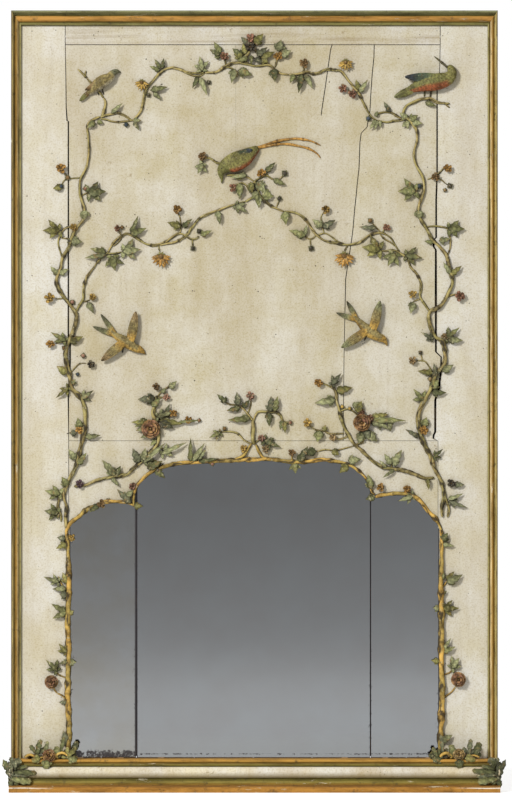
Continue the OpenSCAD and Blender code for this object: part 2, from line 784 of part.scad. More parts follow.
module left_vine() {
    color(bark)
        on_field() {
            stem(12, [[-536, 2025], [-532, 1960], [-540, 1905], [-560, 1862], [-560, 1820],
                [-548, 1770], [-550, 1738], [-568, 1714], [-584, 1688], [-596, 1650], [-616, 1614],
                [-624, 1580], [-636, 1545], [-632, 1520], [-608, 1482], [-580, 1446],
                [-572, 1420]]);
            stem(17, [[-580, 1446], [-572, 1420], [-584, 1374], [-604, 1325], [-606, 1290],
                [-594, 1235], [-588, 1196], [-558, 1164],
                [-544, 1120], [-546, 1065], [-560, 1000], [-574, 945], [-598, 895], [-612, 850],
                [-604, 812], [-607, 776]]);
            stem(9, [[-496, 2068], [-520, 2058], [-536, 2042], [-536, 2010]]);
            stem(7, [[-570, 1712], [-596, 1714], [-616, 1702], [-630, 1670], [-628, 1648],
                [-618, 1615]]);
            stem(10, [[-606, 880], [-622, 855], [-632, 815], [-622, 785], [-622, 766]]);
            stem(10, [[-574, 1440], [-562, 1462], [-550, 1484], [-549, 1515], [-540, 1550],
                [-513, 1588], [-507, 1600]]);
            stem(11, [[-490, 2068], [-482, 2092], [-479, 2116], [-486, 2130]]);
            stem(9, [[-540, 2193], [-553, 2207], [-568, 2221]]);
            stem(6, [[-545, 2198], [-541, 2216]]);
            stem(5, [[-560, 1872], [-600, 1868], [-612, 1862], [-620, 1848]]);
            stem(5, [[-600, 1870], [-610, 1888]]);
            stem(5, [[-622, 1678], [-600, 1676], [-592, 1672]]);
            stem(5, [[-556, 1812], [-545, 1820], [-530, 1825]]);
            stem(5, [[-594, 1240], [-578, 1260], [-560, 1275], [-540, 1275]]);
            stem(5, [[-560, 1475], [-545, 1474], [-528, 1480]]);
            stem(5, [[-612, 1484], [-640, 1482]]);
            stem(5, [[-606, 1345], [-640, 1340]]);
        }
    color(leaf_green)
        on_field()
            leaves([[-535, 1824, -481, 1828, 60, 3], [-624, 1702, -676, 1705, 46, 3],
                [-548, 1768, -545, 1736, 24, 1], [-618, 1842, -645, 1838, 20, 1],
                [-590, 1668, -555, 1667, 24, 1], [-630, 1560, -655, 1583, 18, 1],
                [-628, 1562, -600, 1578, 18, 1], [-604, 1346, -650, 1374, 34, 3],
                [-595, 1342, -555, 1362, 22, 1], [-537, 1472, -515, 1440, 18, 1],
                [-600, 1243, -632, 1265, 26, 1], [-596, 1200, -633, 1165, 28, 1],
                [-588, 1210, -575, 1222, 16, 1], [-558, 1160, -520, 1186, 32, 3],
                [-560, 1065, -567, 1098, 22, 1], [-572, 1052, -594, 1050, 18, 1],
                [-545, 1038, -498, 1044, 18, 1], [-573, 965, -595, 998, 22, 1],
                [-568, 950, -540, 984, 20, 1], [-600, 880, -618, 908, 24, 1],
                [-622, 855, -670, 865, 42, 3], [-628, 795, -672, 802, 40, 3],
                [-512, 2052, -536, 2034, 18, 1], [-505, 2055, -488, 2046, 14, 1]]);
    color(petal_orange)
        on_field() {
            blooms([[-622, 1903, 17], [-658, 1485, 16], [-520, 1488, 13], [-655, 1338, 14],
                [-525, 1272, 13], [-562, 1062, 13], [-562, 906, 14], [-580, 1712, 13]]);
            buds([[-600, 1872, 10], [-543, 1837, 10], [-593, 1668, 10], [-585, 1472, 10],
                [-612, 1325, 9], [-550, 1300, 10], [-568, 1240, 8], [-622, 1844, 11]]);
        }
}

module right_vine() {
    color(bark)
        on_field() {
            stem(12, [[500, 2055], [520, 2030], [522, 1990], [512, 1950], [520, 1912], [542, 1870],
                [545, 1838], [536, 1805], [526, 1770], [534, 1738], [556, 1702], [570, 1675],
                [595, 1650], [618, 1618], [626, 1575], [637, 1540], [624, 1504], [600, 1462],
                [564, 1440]]);
            stem(17, [[600, 1462], [564, 1440], [562, 1405], [580, 1362], [604, 1345],
                [612, 1310], [608, 1272],
                [580, 1236], [568, 1195], [542, 1150], [526, 1108], [530, 1065], [542, 1022],
                [566, 975], [578, 938], [600, 895], [609, 850], [602, 812], [604, 780]]);
            stem(7, [[553, 1714], [575, 1716], [600, 1714], [620, 1708], [626, 1688], [630, 1668],
                [628, 1645], [620, 1620]]);
            stem(10, [[606, 860], [622, 820], [624, 800], [620, 780]]);
            stem(9, [[562, 1442], [552, 1458], [540, 1475], [532, 1492], [534, 1512], [534, 1535],
                [520, 1564], [502, 1584], [492, 1610], [480, 1624]]);
            stem(11, [[488, 2062], [478, 2078], [488, 2102], [512, 2114], [540, 2125], [566, 2125],
                [588, 2114], [628, 2110]]);
            stem(6, [[606, 2114], [628, 2096]]);
            stem(5, [[555, 1866], [575, 1872], [600, 1865], [612, 1855], [622, 1848]]);
            stem(5, [[580, 1236], [563, 1262], [550, 1280], [538, 1284], [518, 1283]]);
            stem(5, [[536, 1484], [520, 1478], [510, 1474]]);
            stem(5, [[540, 1284], [535, 1304]]);
        }
    color(leaf_green)
        on_field()
            leaves([[490, 2050, 475, 2036, 14, 1], [548, 2116, 580, 2100, 16, 1],
                [520, 1828, 465, 1832, 60, 3], [527, 1768, 528, 1740, 26, 1],
                [622, 1708, 672, 1710, 48, 3], [592, 1668, 628, 1674, 18, 1],
                [576, 1664, 547, 1666, 14, 1], [630, 1562, 609, 1598, 16, 1],
                [632, 1560, 662, 1588, 18, 1], [577, 1352, 538, 1374, 28, 1],
                [612, 1354, 655, 1388, 36, 1], [620, 1350, 666, 1352, 22, 1],
                [603, 1248, 636, 1271, 22, 1], [584, 1228, 576, 1274, 28, 1],
                [575, 1244, 528, 1253, 20, 1], [568, 1195, 590, 1220, 26, 1],
                [568, 1180, 613, 1181, 20, 1], [545, 1152, 515, 1192, 36, 3],
                [543, 1072, 553, 1100, 24, 1], [532, 1038, 487, 1060, 16, 1],
                [574, 970, 602, 1000, 26, 3], [625, 832, 680, 812, 28, 1],
                [620, 838, 668, 852, 14, 1], [640, 885, 672, 885, 18, 1],
                [511, 1474, 500, 1438, 22, 1]]);
    color(petal_orange)
        on_field() {
            blooms([[620, 1903, 15], [580, 1875, 14], [660, 1492, 18], [508, 1498, 13],
                [508, 1283, 14], [545, 1060, 16], [632, 890, 15], [610, 1362, 12]]);
            buds([[530, 1845, 11], [628, 1846, 11], [612, 1832, 8], [533, 1310, 8], [565, 1225, 10]]);
        }
}

module top_garland_left() {
    color(bark)
        on_field() {
            stem(9, [[-496, 2066], [-478, 2072], [-455, 2077], [-438, 2079], [-418, 2072],
                [-400, 2060], [-390, 2055]]);
            stem(7, [[-496, 2062], [-475, 2058], [-455, 2052], [-435, 2051], [-412, 2054],
                [-392, 2055]]);
            stem(10, [[-392, 2054], [-375, 2072], [-363, 2092], [-357, 2118], [-352, 2145],
                [-342, 2165], [-325, 2185], [-312, 2200], [-297, 2213], [-283, 2222], [-262, 2225],
                [-240, 2220], [-215, 2211], [-188, 2208], [-160, 2210]]);
            stem(6, [[-228, 2212], [-205, 2202], [-180, 2198], [-158, 2208]]);
        }
    color(leaf_green)
        on_field()
            leaves([[-460, 2078, -428, 2110, 14, 1], [-390, 2055, -365, 2055, 14, 1],
                [-388, 2052, -372, 2027, 14, 1], [-335, 2152, -283, 2165, 18, 1],
                [-325, 2145, -300, 2126, 14, 1], [-304, 2215, -335, 2230, 14, 1],
                [-303, 2220, -318, 2252, 14, 1], [-298, 2222, -290, 2253, 14, 1],
                [-168, 2214, -176, 2258, 36, 3], [-178, 2196, -150, 2143, 18, 1],
                [-180, 2196, -200, 2163, 14, 1]]);
    color(petal_yellow)
        on_field() {
            blooms([[-362, 2172, 20]]);
            buds([[-341, 2137, 9], [-412, 2042, 10], [-147, 2178, 9]]);
        }
}

module top_garland_centre() {
    color(bark)
        on_field() {
            stem(10, [[-160, 2210], [-130, 2210], [-112, 2217], [-92, 2230], [-70, 2240],
                [-45, 2241], [-20, 2237], [0, 2231], [20, 2231], [40, 2235], [55, 2229], [70, 2216],
                [88, 2206], [110, 2203]]);
            stem(12, [[-48, 2242], [-28, 2262], [-12, 2284]]);
            stem(8, [[-10, 2290], [5, 2278], [14, 2262], [24, 2256], [34, 2264]]);
            stem(6, [[-95, 2228], [-75, 2224], [-62, 2216]]);
        }
    color(leaf_green)
        on_field()
            leaves([[-62, 2222, -75, 2180, 24, 1], [-52, 2218, -12, 2200, 26, 1],
                [-110, 2265, -142, 2281, 20, 1], [-108, 2272, -130, 2304, 20, 1],
                [-110, 2262, -128, 2258, 14, 1], [-38, 2258, -68, 2278, 24, 1],
                [-2, 2300, 28, 2330, 26, 1], [-20, 2300, -42, 2322, 18, 1],
                [24, 2256, 42, 2242, 20, 1], [75, 2278, 86, 2312, 26, 1],
                [84, 2265, 116, 2277, 24, 1], [62, 2222, 65, 2182, 24, 1],
                [-10, 2266, -10, 2236, 14, 1]]);
    color(petal_red)
        on_field() {
            blooms([[-12, 2318, 16], [-97, 2262, 15], [75, 2262, 15], [-14, 2292, 18]]);
            stem(6, [[-97, 2262], [-92, 2234]]);
            stem(6, [[75, 2262], [66, 2226]]);
        }
}

module top_garland_right() {
    color(bark)
        on_field() {
            stem(10, [[110, 2203], [132, 2204], [152, 2208], [170, 2212], [186, 2206], [205, 2208],
                [222, 2216], [240, 2220], [258, 2218], [276, 2215], [290, 2200], [305, 2180],
                [320, 2162], [335, 2145], [346, 2120], [356, 2100], [366, 2082], [378, 2066],
                [394, 2056]]);
            stem(8, [[385, 2074], [415, 2082], [440, 2080], [458, 2070], [475, 2060]]);
            stem(8, [[394, 2056], [425, 2050], [445, 2054], [462, 2056], [484, 2058]]);
            stem(5, [[320, 2163], [312, 2150], [300, 2154]]);
            stem(5, [[160, 2236], [158, 2210]]);
        }
    color(leaf_green)
        on_field()
            leaves([[128, 2204, 115, 2178, 16, 1], [152, 2206, 143, 2148, 20, 1],
                [165, 2206, 182, 2160, 18, 1], [334, 2154, 326, 2184, 16, 1],
                [336, 2144, 364, 2182, 16, 1], [392, 2058, 370, 2030, 14, 1],
                [396, 2056, 385, 2028, 12, 1], [402, 2056, 404, 2034, 12, 1],
                [388, 2068, 396, 2084, 12, 1], [435, 2082, 415, 2113, 14, 1]]);
    color(petal_yellow)
        on_field() {
            blooms([[160, 2240, 15], [293, 2236, 22], [285, 2158, 14], [315, 2140, 14]]);
            buds([[143, 2182, 9], [366, 2062, 10]]);
        }
}

module mid_garland_left() {
    color(bark)
        on_field() {
            stem(9, [[-472, 1632], [-462, 1648], [-450, 1667], [-432, 1681], [-412, 1692],
                [-395, 1687], [-372, 1674], [-350, 1660], [-330, 1655], [-308, 1657], [-288, 1665],
                [-262, 1682], [-242, 1693], [-222, 1686], [-205, 1675], [-190, 1675],
                [-178, 1684]]);
            stem(9, [[-305, 1655], [-280, 1660], [-252, 1666], [-228, 1680], [-212, 1696],
                [-196, 1718], [-178, 1740], [-150, 1755], [-118, 1767], [-88, 1778], [-58, 1788],
                [-30, 1795]]);
            stem(6, [[-456, 1652], [-440, 1662], [-425, 1680]]);
            stem(5, [[-240, 1692], [-236, 1712], [-240, 1745], [-247, 1760]]);
            stem(5, [[-308, 1655], [-306, 1640], [-303, 1634]]);
            stem(5, [[-200, 1676], [-198, 1650]]);
            stem(6, [[-478, 1628], [-445, 1629], [-420, 1635]]);
            stem(5, [[-468, 1627], [-458, 1614]]);
            stem(5, [[-436, 1704], [-428, 1686]]);
        }
    color(leaf_green)
        on_field()
            leaves([[-424, 1634, -370, 1643, 52, 3], [-458, 1620, -450, 1576, 50, 3],
                [-476, 1632, -524, 1644, 20, 1], [-474, 1626, -540, 1612, 18, 1],
                [-398, 1690, -372, 1744, 16, 1], [-400, 1690, -350, 1706, 22, 1],
                [-236, 1712, -276, 1730, 22, 1], [-232, 1712, -202, 1738, 16, 1],
                [-118, 1766, -112, 1724, 18, 1], [-62, 1786, -25, 1762, 34, 3],
                [-174, 1686, -140, 1702, 16, 1]]);
    color(petal_orange)
        on_field() {
            blooms([[-440, 1708, 12], [-248, 1770, 16], [-300, 1610, 28]]);
            buds([[-425, 1712, 8], [-178, 1700, 10], [-198, 1645, 10]]);
        }
}

module mid_garland_centre() {
    color(bark)
        on_field() {
            stem(7, [[-90, 1880], [-62, 1879], [-40, 1879], [-20, 1872], [0, 1860]]);
            stem(8, [[-104, 1918], [-122, 1921], [-145, 1935], [-168, 1930], [-166, 1910]]);
            stem(6, [[2, 1862], [-10, 1845], [-12, 1820]]);
            stem(10, [[0, 1862], [10, 1838], [16, 1818], [30, 1800], [48, 1785], [68, 1774],
                [95, 1763]]);
            stem(7, [[0, 1860], [12, 1868], [38, 1878], [55, 1869], [75, 1865], [92, 1878]]);
            stem(7, [[-66, 1846], [-40, 1854], [-25, 1846], [-18, 1828]]);
            stem(9, [[-30, 1795], [-10, 1806], [10, 1824]]);
            stem(5, [[68, 1774], [80, 1798]]);
            stem(6, [[38, 1878], [42, 1890]]);
        }
    color(leaf_green)
        on_field()
            leaves([[-48, 1850, -46, 1806, 20, 1], [20, 1862, 40, 1815, 20, 3],
                [28, 1806, 60, 1812, 18, 1], [2, 1830, 4, 1800, 20, 1],
                [14, 1812, 15, 1776, 18, 1], [35, 1890, 66, 1918, 18, 1],
                [60, 1868, 96, 1848, 18, 1], [-166, 1918, -180, 1886, 36, 3],
                [-62, 1876, -40, 1866, 12, 1], [-10, 1856, -14, 1824, 14, 1]]);
    color(petal_red)
        on_field() {
            blooms([[-168, 1940, 15], [22, 1888, 15], [-68, 1840, 14]]);
            buds([[97, 1886, 12], [80, 1805, 10]]);
        }
}

module mid_garland_right() {
    color(bark)
        on_field() {
            stem(9, [[95, 1763], [128, 1760], [152, 1748], [170, 1730], [184, 1708], [200, 1688],
                [225, 1670], [255, 1663], [285, 1658], [302, 1656], [325, 1660], [345, 1668],
                [365, 1684], [385, 1693], [408, 1695], [425, 1688], [440, 1676], [452, 1655],
                [466, 1634]]);
            stem(6, [[203, 1688], [228, 1693], [248, 1682], [266, 1668], [290, 1660]]);
            stem(6, [[402, 1692], [418, 1675], [436, 1665], [450, 1652]]);
            stem(5, [[200, 1690], [185, 1676], [168, 1678], [163, 1688]]);
            stem(5, [[178, 1678], [181, 1652]]);
            stem(5, [[224, 1692], [218, 1718], [214, 1745], [222, 1760]]);
            stem(5, [[300, 1655], [288, 1636]]);
            stem(6, [[466, 1634], [440, 1640], [418, 1636], [402, 1638]]);
            stem(6, [[484, 1622], [462, 1628], [450, 1630]]);
            stem(5, [[408, 1694], [392, 1712], [378, 1726]]);
            stem(5, [[410, 1694], [422, 1712]]);
        }
    color(leaf_green)
        on_field()
            leaves([[406, 1640, 350, 1652, 56, 3], [450, 1632, 432, 1590, 46, 3],
                [484, 1622, 536, 1618, 40, 3], [98, 1764, 102, 1724, 24, 1],
                [166, 1684, 114, 1700, 24, 1], [162, 1686, 165, 1718, 14, 1],
                [218, 1712, 190, 1738, 22, 1], [218, 1712, 259, 1732, 22, 1],
                [392, 1710, 340, 1712, 16, 1]]);
    color(petal_orange)
        on_field() {
            blooms([[230, 1770, 15], [288, 1612, 28], [425, 1712, 13]]);
            buds([[182, 1645, 11], [372, 1734, 10]]);
        }
}

module arch_border() {
    color(ochre_paint)
        on_spring() {
            stem(13, arch_left);
            stem(13, arch_mid);
            stem(13, arch_right);
            stem(11, [[-388, 114], [-388, 160]]);
            stem(11, [[380, 160], [386, 142]]);
            stem(12, [[-70, 264], [-40, 276], [-22, 298], [-8, 318]]);
            stem(12, [[55, 267], [28, 273], [14, 292], [5, 316]]);
            stem(6, [[120, 260], [120, 285]]);
        }
    color(leaf_green)
        on_spring()
            leaves([[-500, 122, -528, 100, 18, 1], [-388, 118, -360, 117, 18, 1],
                [-396, 124, -438, 168, 22, 1], [-318, 234, -290, 208, 20, 1],
                [-205, 257, -208, 330, 16, 1], [-200, 258, -163, 314, 18, 1],
                [-180, 258, -118, 272, 14, 1], [128, 258, 132, 224, 40, 3],
                [140, 258, 170, 305, 24, 1], [300, 250, 275, 226, 24, 1],
                [388, 148, 360, 140, 22, 1], [376, 172, 362, 214, 24, 1],
                [512, 150, 465, 135, 32, 3]]);
    color(petal_orange)
        on_spring() {
            blooms([[-492, 124, 14], [-390, 180, 14], [405, 178, 14], [490, 172, 14],
                [120, 288, 12]]);
            buds([[-470, 136, 8], [-310, 232, 12], [-135, 252, 9]]);
        }
}

module left_rose_spray() {
    color(bark)
        on_spring() {
            stem(12, [[-570, 181], [-545, 184], [-510, 198], [-475, 207], [-440, 213], [-408, 220],
                [-388, 240], [-362, 258], [-342, 268]]);
            stem(15, [[-362, 260], [-335, 288], [-314, 312], [-308, 345], [-318, 385], [-325, 418],
                [-318, 445], [-314, 472]]);
            stem(6, [[-350, 262], [-320, 262], [-300, 250]]);
            stem(6, [[-318, 302], [-285, 300], [-268, 286]]);
            stem(6, [[-313, 468], [-295, 488], [-278, 498], [-262, 512]]);
            stem(6, [[-314, 466], [-290, 466]]);
            stem(6, [[-318, 394], [-296, 392], [-266, 412]]);
        }
    color(leaf_green)
        on_spring()
            leaves([[-448, 213, -482, 264, 26, 1], [-446, 215, -430, 243, 20, 1],
                [-460, 207, -434, 184, 14, 1], [-370, 256, -392, 298, 26, 1],
                [-364, 260, -352, 292, 16, 1], [-340, 385, -392, 386, 18, 1],
                [-345, 370, -378, 358, 16, 1], [-332, 352, -363, 335, 16, 1],
                [-314, 330, -334, 312, 14, 1], [-306, 392, -237, 385, 22, 1],
                [-290, 400, -276, 444, 30, 1], [-318, 462, -371, 462, 26, 1],
                [-300, 482, -285, 494, 14, 1], [-275, 495, -250, 515, 18, 1],
                [-248, 386, -176, 393, 10, 1]]);
    color(petal_red)
        on_spring() {
            roses([[-333, 365, 30]]);
            blooms([[-315, 500, 13], [-283, 467, 12], [-260, 415, 13], [-212, 393, 14]]);
            buds([[-178, 392, 8], [-300, 250, 7], [-270, 284, 7]]);
        }
}

module centre_spray() {
    color(bark)
        on_spring() {
            stem(16, [[-2, 314], [-6, 345], [-4, 370], [-5, 394]]);
            stem(9, [[-5, 390], [-20, 411], [-34, 428], [-48, 440]]);
            stem(6, [[-46, 438], [-66, 442], [-86, 446], [-105, 462]]);
            stem(9, [[-4, 388], [4, 408], [14, 420], [40, 419], [68, 418], [82, 410], [92, 390],
                [112, 385]]);
            stem(7, [[-8, 316], [-32, 328], [-48, 345], [-65, 354], [-90, 356], [-112, 354]]);
            stem(6, [[0, 318], [24, 334], [40, 324]]);
            stem(5, [[-22, 412], [-12, 440], [-12, 462]]);
        }
    color(leaf_green)
        on_spring()
            leaves([[-90, 448, -116, 476, 18, 1], [-52, 440, -58, 480, 20, 1],
                [-44, 436, -86, 422, 18, 1], [-36, 432, -18, 458, 16, 1],
                [52, 420, 50, 466, 22, 1], [64, 420, 74, 466, 20, 1], [45, 418, 50, 376, 20, 1],
                [90, 392, 82, 364, 14, 1], [94, 390, 101, 354, 16, 1], [-12, 400, -80, 390, 22, 1],
                [-108, 354, -142, 338, 28, 1], [30, 330, 80, 305, 36, 3]]);
    color(petal_red)
        on_spring() {
            blooms([[-12, 470, 15], [-35, 302, 13], [35, 300, 13], [22, 336, 12]]);
            buds([[115, 385, 9], [-96, 366, 9]]);
        }
}

module right_rose_spray() {
    color(bark)
        on_spring() {
            stem(13, [[568, 208], [545, 207], [510, 222], [480, 231], [445, 237], [412, 243],
                [385, 258], [362, 278], [340, 300], [320, 316], [302, 345], [288, 372], [278, 402],
                [270, 435], [264, 455], [262, 478], [252, 498], [244, 510]]);
            stem(6, [[254, 494], [232, 506], [214, 512]]);
            stem(6, [[304, 342], [275, 332], [256, 336]]);
            stem(6, [[266, 452], [246, 462]]);
            stem(6, [[274, 422], [304, 428], [334, 408]]);
            stem(6, [[322, 314], [348, 322], [350, 350]]);
            stem(6, [[288, 350], [240, 350], [225, 358], [195, 363], [176, 376]]);
            stem(6, [[200, 292], [228, 298], [262, 296], [326, 312]]);
            stem(6, [[440, 236], [442, 256]]);
        }
    color(leaf_green)
        on_spring()
            leaves([[248, 506, 275, 542, 30, 1], [262, 485, 310, 500, 26, 1],
                [262, 460, 198, 448, 26, 1], [330, 416, 342, 452, 24, 1],
                [372, 398, 425, 412, 24, 1], [372, 392, 478, 398, 20, 1],
                [372, 388, 422, 372, 20, 1], [436, 394, 438, 358, 18, 1],
                [347, 356, 335, 328, 28, 1], [360, 364, 366, 330, 22, 1],
                [210, 360, 204, 325, 26, 1], [222, 358, 228, 376, 14, 1],
                [250, 298, 270, 282, 22, 1], [200, 292, 155, 290, 24, 1],
                [440, 250, 418, 282, 20, 1], [445, 250, 468, 296, 24, 1],
                [443, 248, 466, 262, 14, 1], [425, 240, 402, 262, 12, 1],
                [450, 236, 416, 208, 12, 1], [556, 206, 560, 172, 14, 1]]);
    color(petal_red)
        on_spring() {
            roses([[345, 385, 28]]);
            blooms([[370, 398, 16], [344, 416, 13], [206, 513, 15], [252, 337, 14],
                [170, 383, 15]]);
            buds([[282, 436, 8], [306, 430, 8]]);
        }
}

module left_border() {
    color(ochre_paint)
        on_field() {
            stem(20, [[-598, 30], [-596, 120], [-600, 220], [-597, 330], [-600, 450], [-596, 560],
                [-599, 660], [-602, 732]]);
            stem(6, [[-602, 540], [-620, 568], [-632, 592]]);
            stem(6, [[-600, 192], [-618, 208], [-636, 218], [-648, 236]]);
            stem(5, [[-598, 262], [-630, 276], [-636, 292]]);
        }
    color(leaf_green)
        on_field()
            leaves([[-606, 712, -632, 716, 18, 1], [-604, 698, -634, 680, 18, 1],
                [-626, 572, -674, 588, 30, 1], [-604, 568, -614, 602, 18, 1],
                [-604, 552, -646, 550, 18, 1], [-602, 530, -624, 532, 22, 1],
                [-604, 478, -650, 498, 20, 1], [-604, 476, -646, 460, 20, 1],
                [-596, 470, -582, 480, 16, 1], [-602, 345, -628, 372, 30, 1],
                [-632, 286, -664, 322, 36, 3], [-600, 318, -626, 312, 14, 1],
                [-600, 315, -574, 315, 20, 1], [-600, 188, -626, 185, 14, 1],
                [-602, 45, -610, 92, 26, 1]]);
    color(petal_red)
        on_field() {
            roses([[-652, 252, 22]]);
            blooms([[-588, 715, 12]]);
        }
}

module right_border() {
    color(ochre_paint)
        on_field() {
            stem(20, [[592, 30], [596, 130], [600, 230], [596, 340], [598, 450], [596, 560],
                [598, 660], [598, 732]]);
            stem(6, [[600, 548], [612, 565], [624, 582]]);
            stem(6, [[600, 194], [618, 208], [634, 220], [648, 240]]);
            stem(5, [[598, 270], [630, 284], [636, 302]]);
        }
    color(leaf_green)
        on_field()
            leaves([[602, 705, 618, 730, 22, 1], [603, 695, 640, 689, 14, 1],
                [598, 580, 608, 605, 18, 1], [616, 570, 666, 592, 26, 1],
                [618, 578, 638, 606, 18, 1], [602, 488, 654, 488, 40, 3],
                [594, 488, 576, 490, 20, 1], [602, 352, 632, 388, 28, 1],
                [604, 348, 643, 362, 18, 1], [632, 296, 658, 325, 40, 3],
                [594, 318, 570, 320, 16, 1], [598, 60, 632, 82, 24, 1],
                [600, 528, 616, 545, 12, 1]]);
    color(petal_red)
        on_field()
            roses([[655, 260, 24]]);
}

// Base carving

// Everything that the base fills, used to seat the carving on it.
module base_body() {
    plinth_board();
    foot_moulding();
    frieze();
    sill_board();
}

// Mass that stands on the sill from the boards out to the given depth.
module sill_mass(x, z, r, depth) {
    solid(concat(ring(x, z, r, 0, 7), ring(x, z, 0.8 * r, depth, 7)));
}

sill_reach = sill_d - panel_y;

module left_corner_spray() {
    color(petal_red)
        difference() {
            on_field() {
                sill_mass(-658, 14, 20, sill_reach + 8);
                sill_mass(-624, 18, 12, sill_reach - 4);
                sill_mass(-592, 16, 12, sill_reach - 6);
                sill_mass(-702, 12, 10, sill_reach);
                sill_mass(-724, 10, 8, sill_reach - 6);
                masses([[-640, 14, 9, sill_reach], [-612, 26, 7, sill_reach - 10]]);
                masses([[-690, 14, 10, sill_reach - 2], [-732, 9, 6, sill_reach - 4]]);
                translate([0, 8 - sill_reach, 0])
                    leaves([[-690, 8, -698, 62, 26, 1], [-676, 8, -670, 78, 24, 1],
                        [-600, 8, -574, 38, 34, 1], [-592, 10, -572, 48, 16, 1],
                        [-650, 6, -640, 40, 18, 1]]);
                translate([0, -sill_reach, 0])
                    leaves([[-664, 8, -665, -24, 20, 1]]);
            }
            sill_board();
        }
}

module right_corner_spray() {
    color(petal_red)
        difference() {
            on_field() {
                sill_mass(655, 18, 17, sill_reach + 8);
                sill_mass(624, 16, 12, sill_reach - 4);
                sill_mass(588, 14, 12, sill_reach - 6);
                sill_mass(700, 14, 11, sill_reach);
                sill_mass(680, 14, 10, sill_reach - 4);
                masses([[640, 22, 9, sill_reach - 2], [610, 12, 7, sill_reach - 8]]);
                masses([[660, 12, 9, sill_reach], [714, 9, 6, sill_reach - 4]]);
                translate([0, 8 - sill_reach, 0])
                    leaves([[680, 10, 690, 62, 22, 1], [700, 8, 714, 66, 18, 1],
                        [588, 8, 572, 34, 24, 1], [612, 10, 614, 80, 16, 1],
                        [640, 8, 630, 40, 18, 1]]);
                translate([0, -sill_reach, 0])
                    leaves([[655, 8, 656, -18, 18, 1]]);
            }
            sill_board();
        }
}

// Leaves clasping a front corner of the base; the rows lie on its front, from its right end.
module clasp(front_rows) {
    difference() {
        union() {
            for (q = [[hw - 4, 28, 10], [hw - 2, 50, 15], [hw - 2, 74, 15], [hw - 2, 94, 11]])
                translate([q[0], -sill_d - 2, q[1]])
                    rotate([0, 0, 45])
                        solid([for (k = [0:5]) for (h = [-1, 1])
                            [q[2] * cos(k * 60), q[2] * sin(k * 60), h * 12]]);
            translate([hw, -sill_d, 0])
                leaves(front_rows);
            translate([hw, 0, 0])
                rotate([0, 0, 90])
                    leaves([[-sill_d + 2, 58, -sill_d + 46, 50, 26, 1],
                        [-sill_d + 2, 66, -sill_d + 40, 84, 24, 1],
                        [-sill_d + 4, 40, -sill_d + 34, 30, 18, 1]]);
            translate([hw - 8, 8 - sill_d, 88])
                solid([[-14, 0, 0], [14, 0, 0], [-14, -14, 0], [14, -14, 0], [0, -7, 26]]);
        }
        base_body();
    }
}

module left_base_leaves() {
    color(leaf_green)
        mirror([1, 0, 0])
            clasp([[5, 56, -53, 56, 26, 1], [3, 48, -57, 38, 22, 1], [5, 66, -49, 78, 26, 1],
                [3, 80, -39, 100, 22, 1]]);
}

module right_base_leaves() {
    color(leaf_green)
        clasp([[5, 58, -61, 58, 24, 1], [3, 48, -59, 48, 18, 1], [5, 68, -37, 82, 26, 1],
            [3, 82, -35, 108, 24, 1]]);
}

// Birds

module small_bird() {
    color(ochre_paint)
        on_field() {
            masses([[-556, 2128, 5, 10], [-535, 2138, 8, 14], [-510, 2165, 20, 26],
                [-485, 2182, 24, 34], [-465, 2180, 18, 30], [-456, 2210, 14, 24],
                [-430, 2212, 3, 12]]);
            masses([[-548, 2160, 4, 20], [-515, 2178, 8, 32], [-480, 2195, 10, 36]]);
        }
}

module long_billed_bird() {
    color(leaf_green)
        on_field() {
            masses([[450, 2135, 6, 10], [480, 2148, 8, 14], [510, 2160, 14, 20],
                [545, 2175, 26, 32], [590, 2180, 30, 38], [622, 2184, 22, 32],
                [630, 2215, 18, 28]]);
            masses([[622, 2218, 8, 16], [577, 2262, 3, 8]]);
            masses([[485, 2192, 4, 18], [540, 2196, 10, 32], [600, 2195, 16, 40]]);
            stem(5, [[548, 2156], [546, 2132]]);
            stem(5, [[570, 2156], [564, 2130]]);
        }
}

module long_tailed_bird() {
    color(petal_orange)
        on_field() {
            masses([[-105, 1853, 3, 8], [-104, 1880, 6, 14], [-103, 1898, 12, 20],
                [-90, 1915, 18, 26], [-65, 1922, 28, 36], [-35, 1932, 26, 36],
                [-10, 1952, 18, 26], [10, 1968, 9, 16]]);
            masses([[-50, 1922, 8, 36], [-18, 1955, 8, 32]]);
            stem(9, [[6, 1966], [60, 1986], [105, 1995], [140, 1997], [180, 1990], [212, 1976]]);
            stem(9, [[6, 1966], [65, 1978], [105, 1980], [145, 1973], [175, 1965], [200, 1950],
                [212, 1935]]);
        }
}

module left_swallow() {
    color(ochre_paint)
        on_field() {
            masses([[-462, 1382, 6, 12], [-455, 1372, 7, 16], [-430, 1355, 15, 26],
                [-405, 1340, 19, 30], [-385, 1325, 12, 24], [-364, 1318, 11, 22],
                [-350, 1304, 2, 8]]);
            leaves([[-455, 1370, -492, 1432, 12, 1], [-455, 1370, -522, 1394, 12, 1],
                [-395, 1345, -377, 1441, 30, 1], [-425, 1350, -487, 1280, 28, 1],
                [-420, 1330, -425, 1306, 10, 1]]);
        }
}

module right_swallow() {
    color(ochre_paint)
        on_field() {
            masses([[315, 1430, 6, 12], [335, 1410, 9, 18], [355, 1390, 16, 26],
                [375, 1375, 21, 30], [395, 1362, 14, 26], [418, 1350, 12, 24],
                [426, 1332, 2, 8]]);
            leaves([[318, 1426, 296, 1475, 12, 1], [318, 1426, 262, 1438, 12, 1],
                [380, 1385, 410, 1475, 30, 1], [348, 1385, 282, 1322, 28, 1],
                [362, 1372, 352, 1346, 10, 1]]);
        }
}

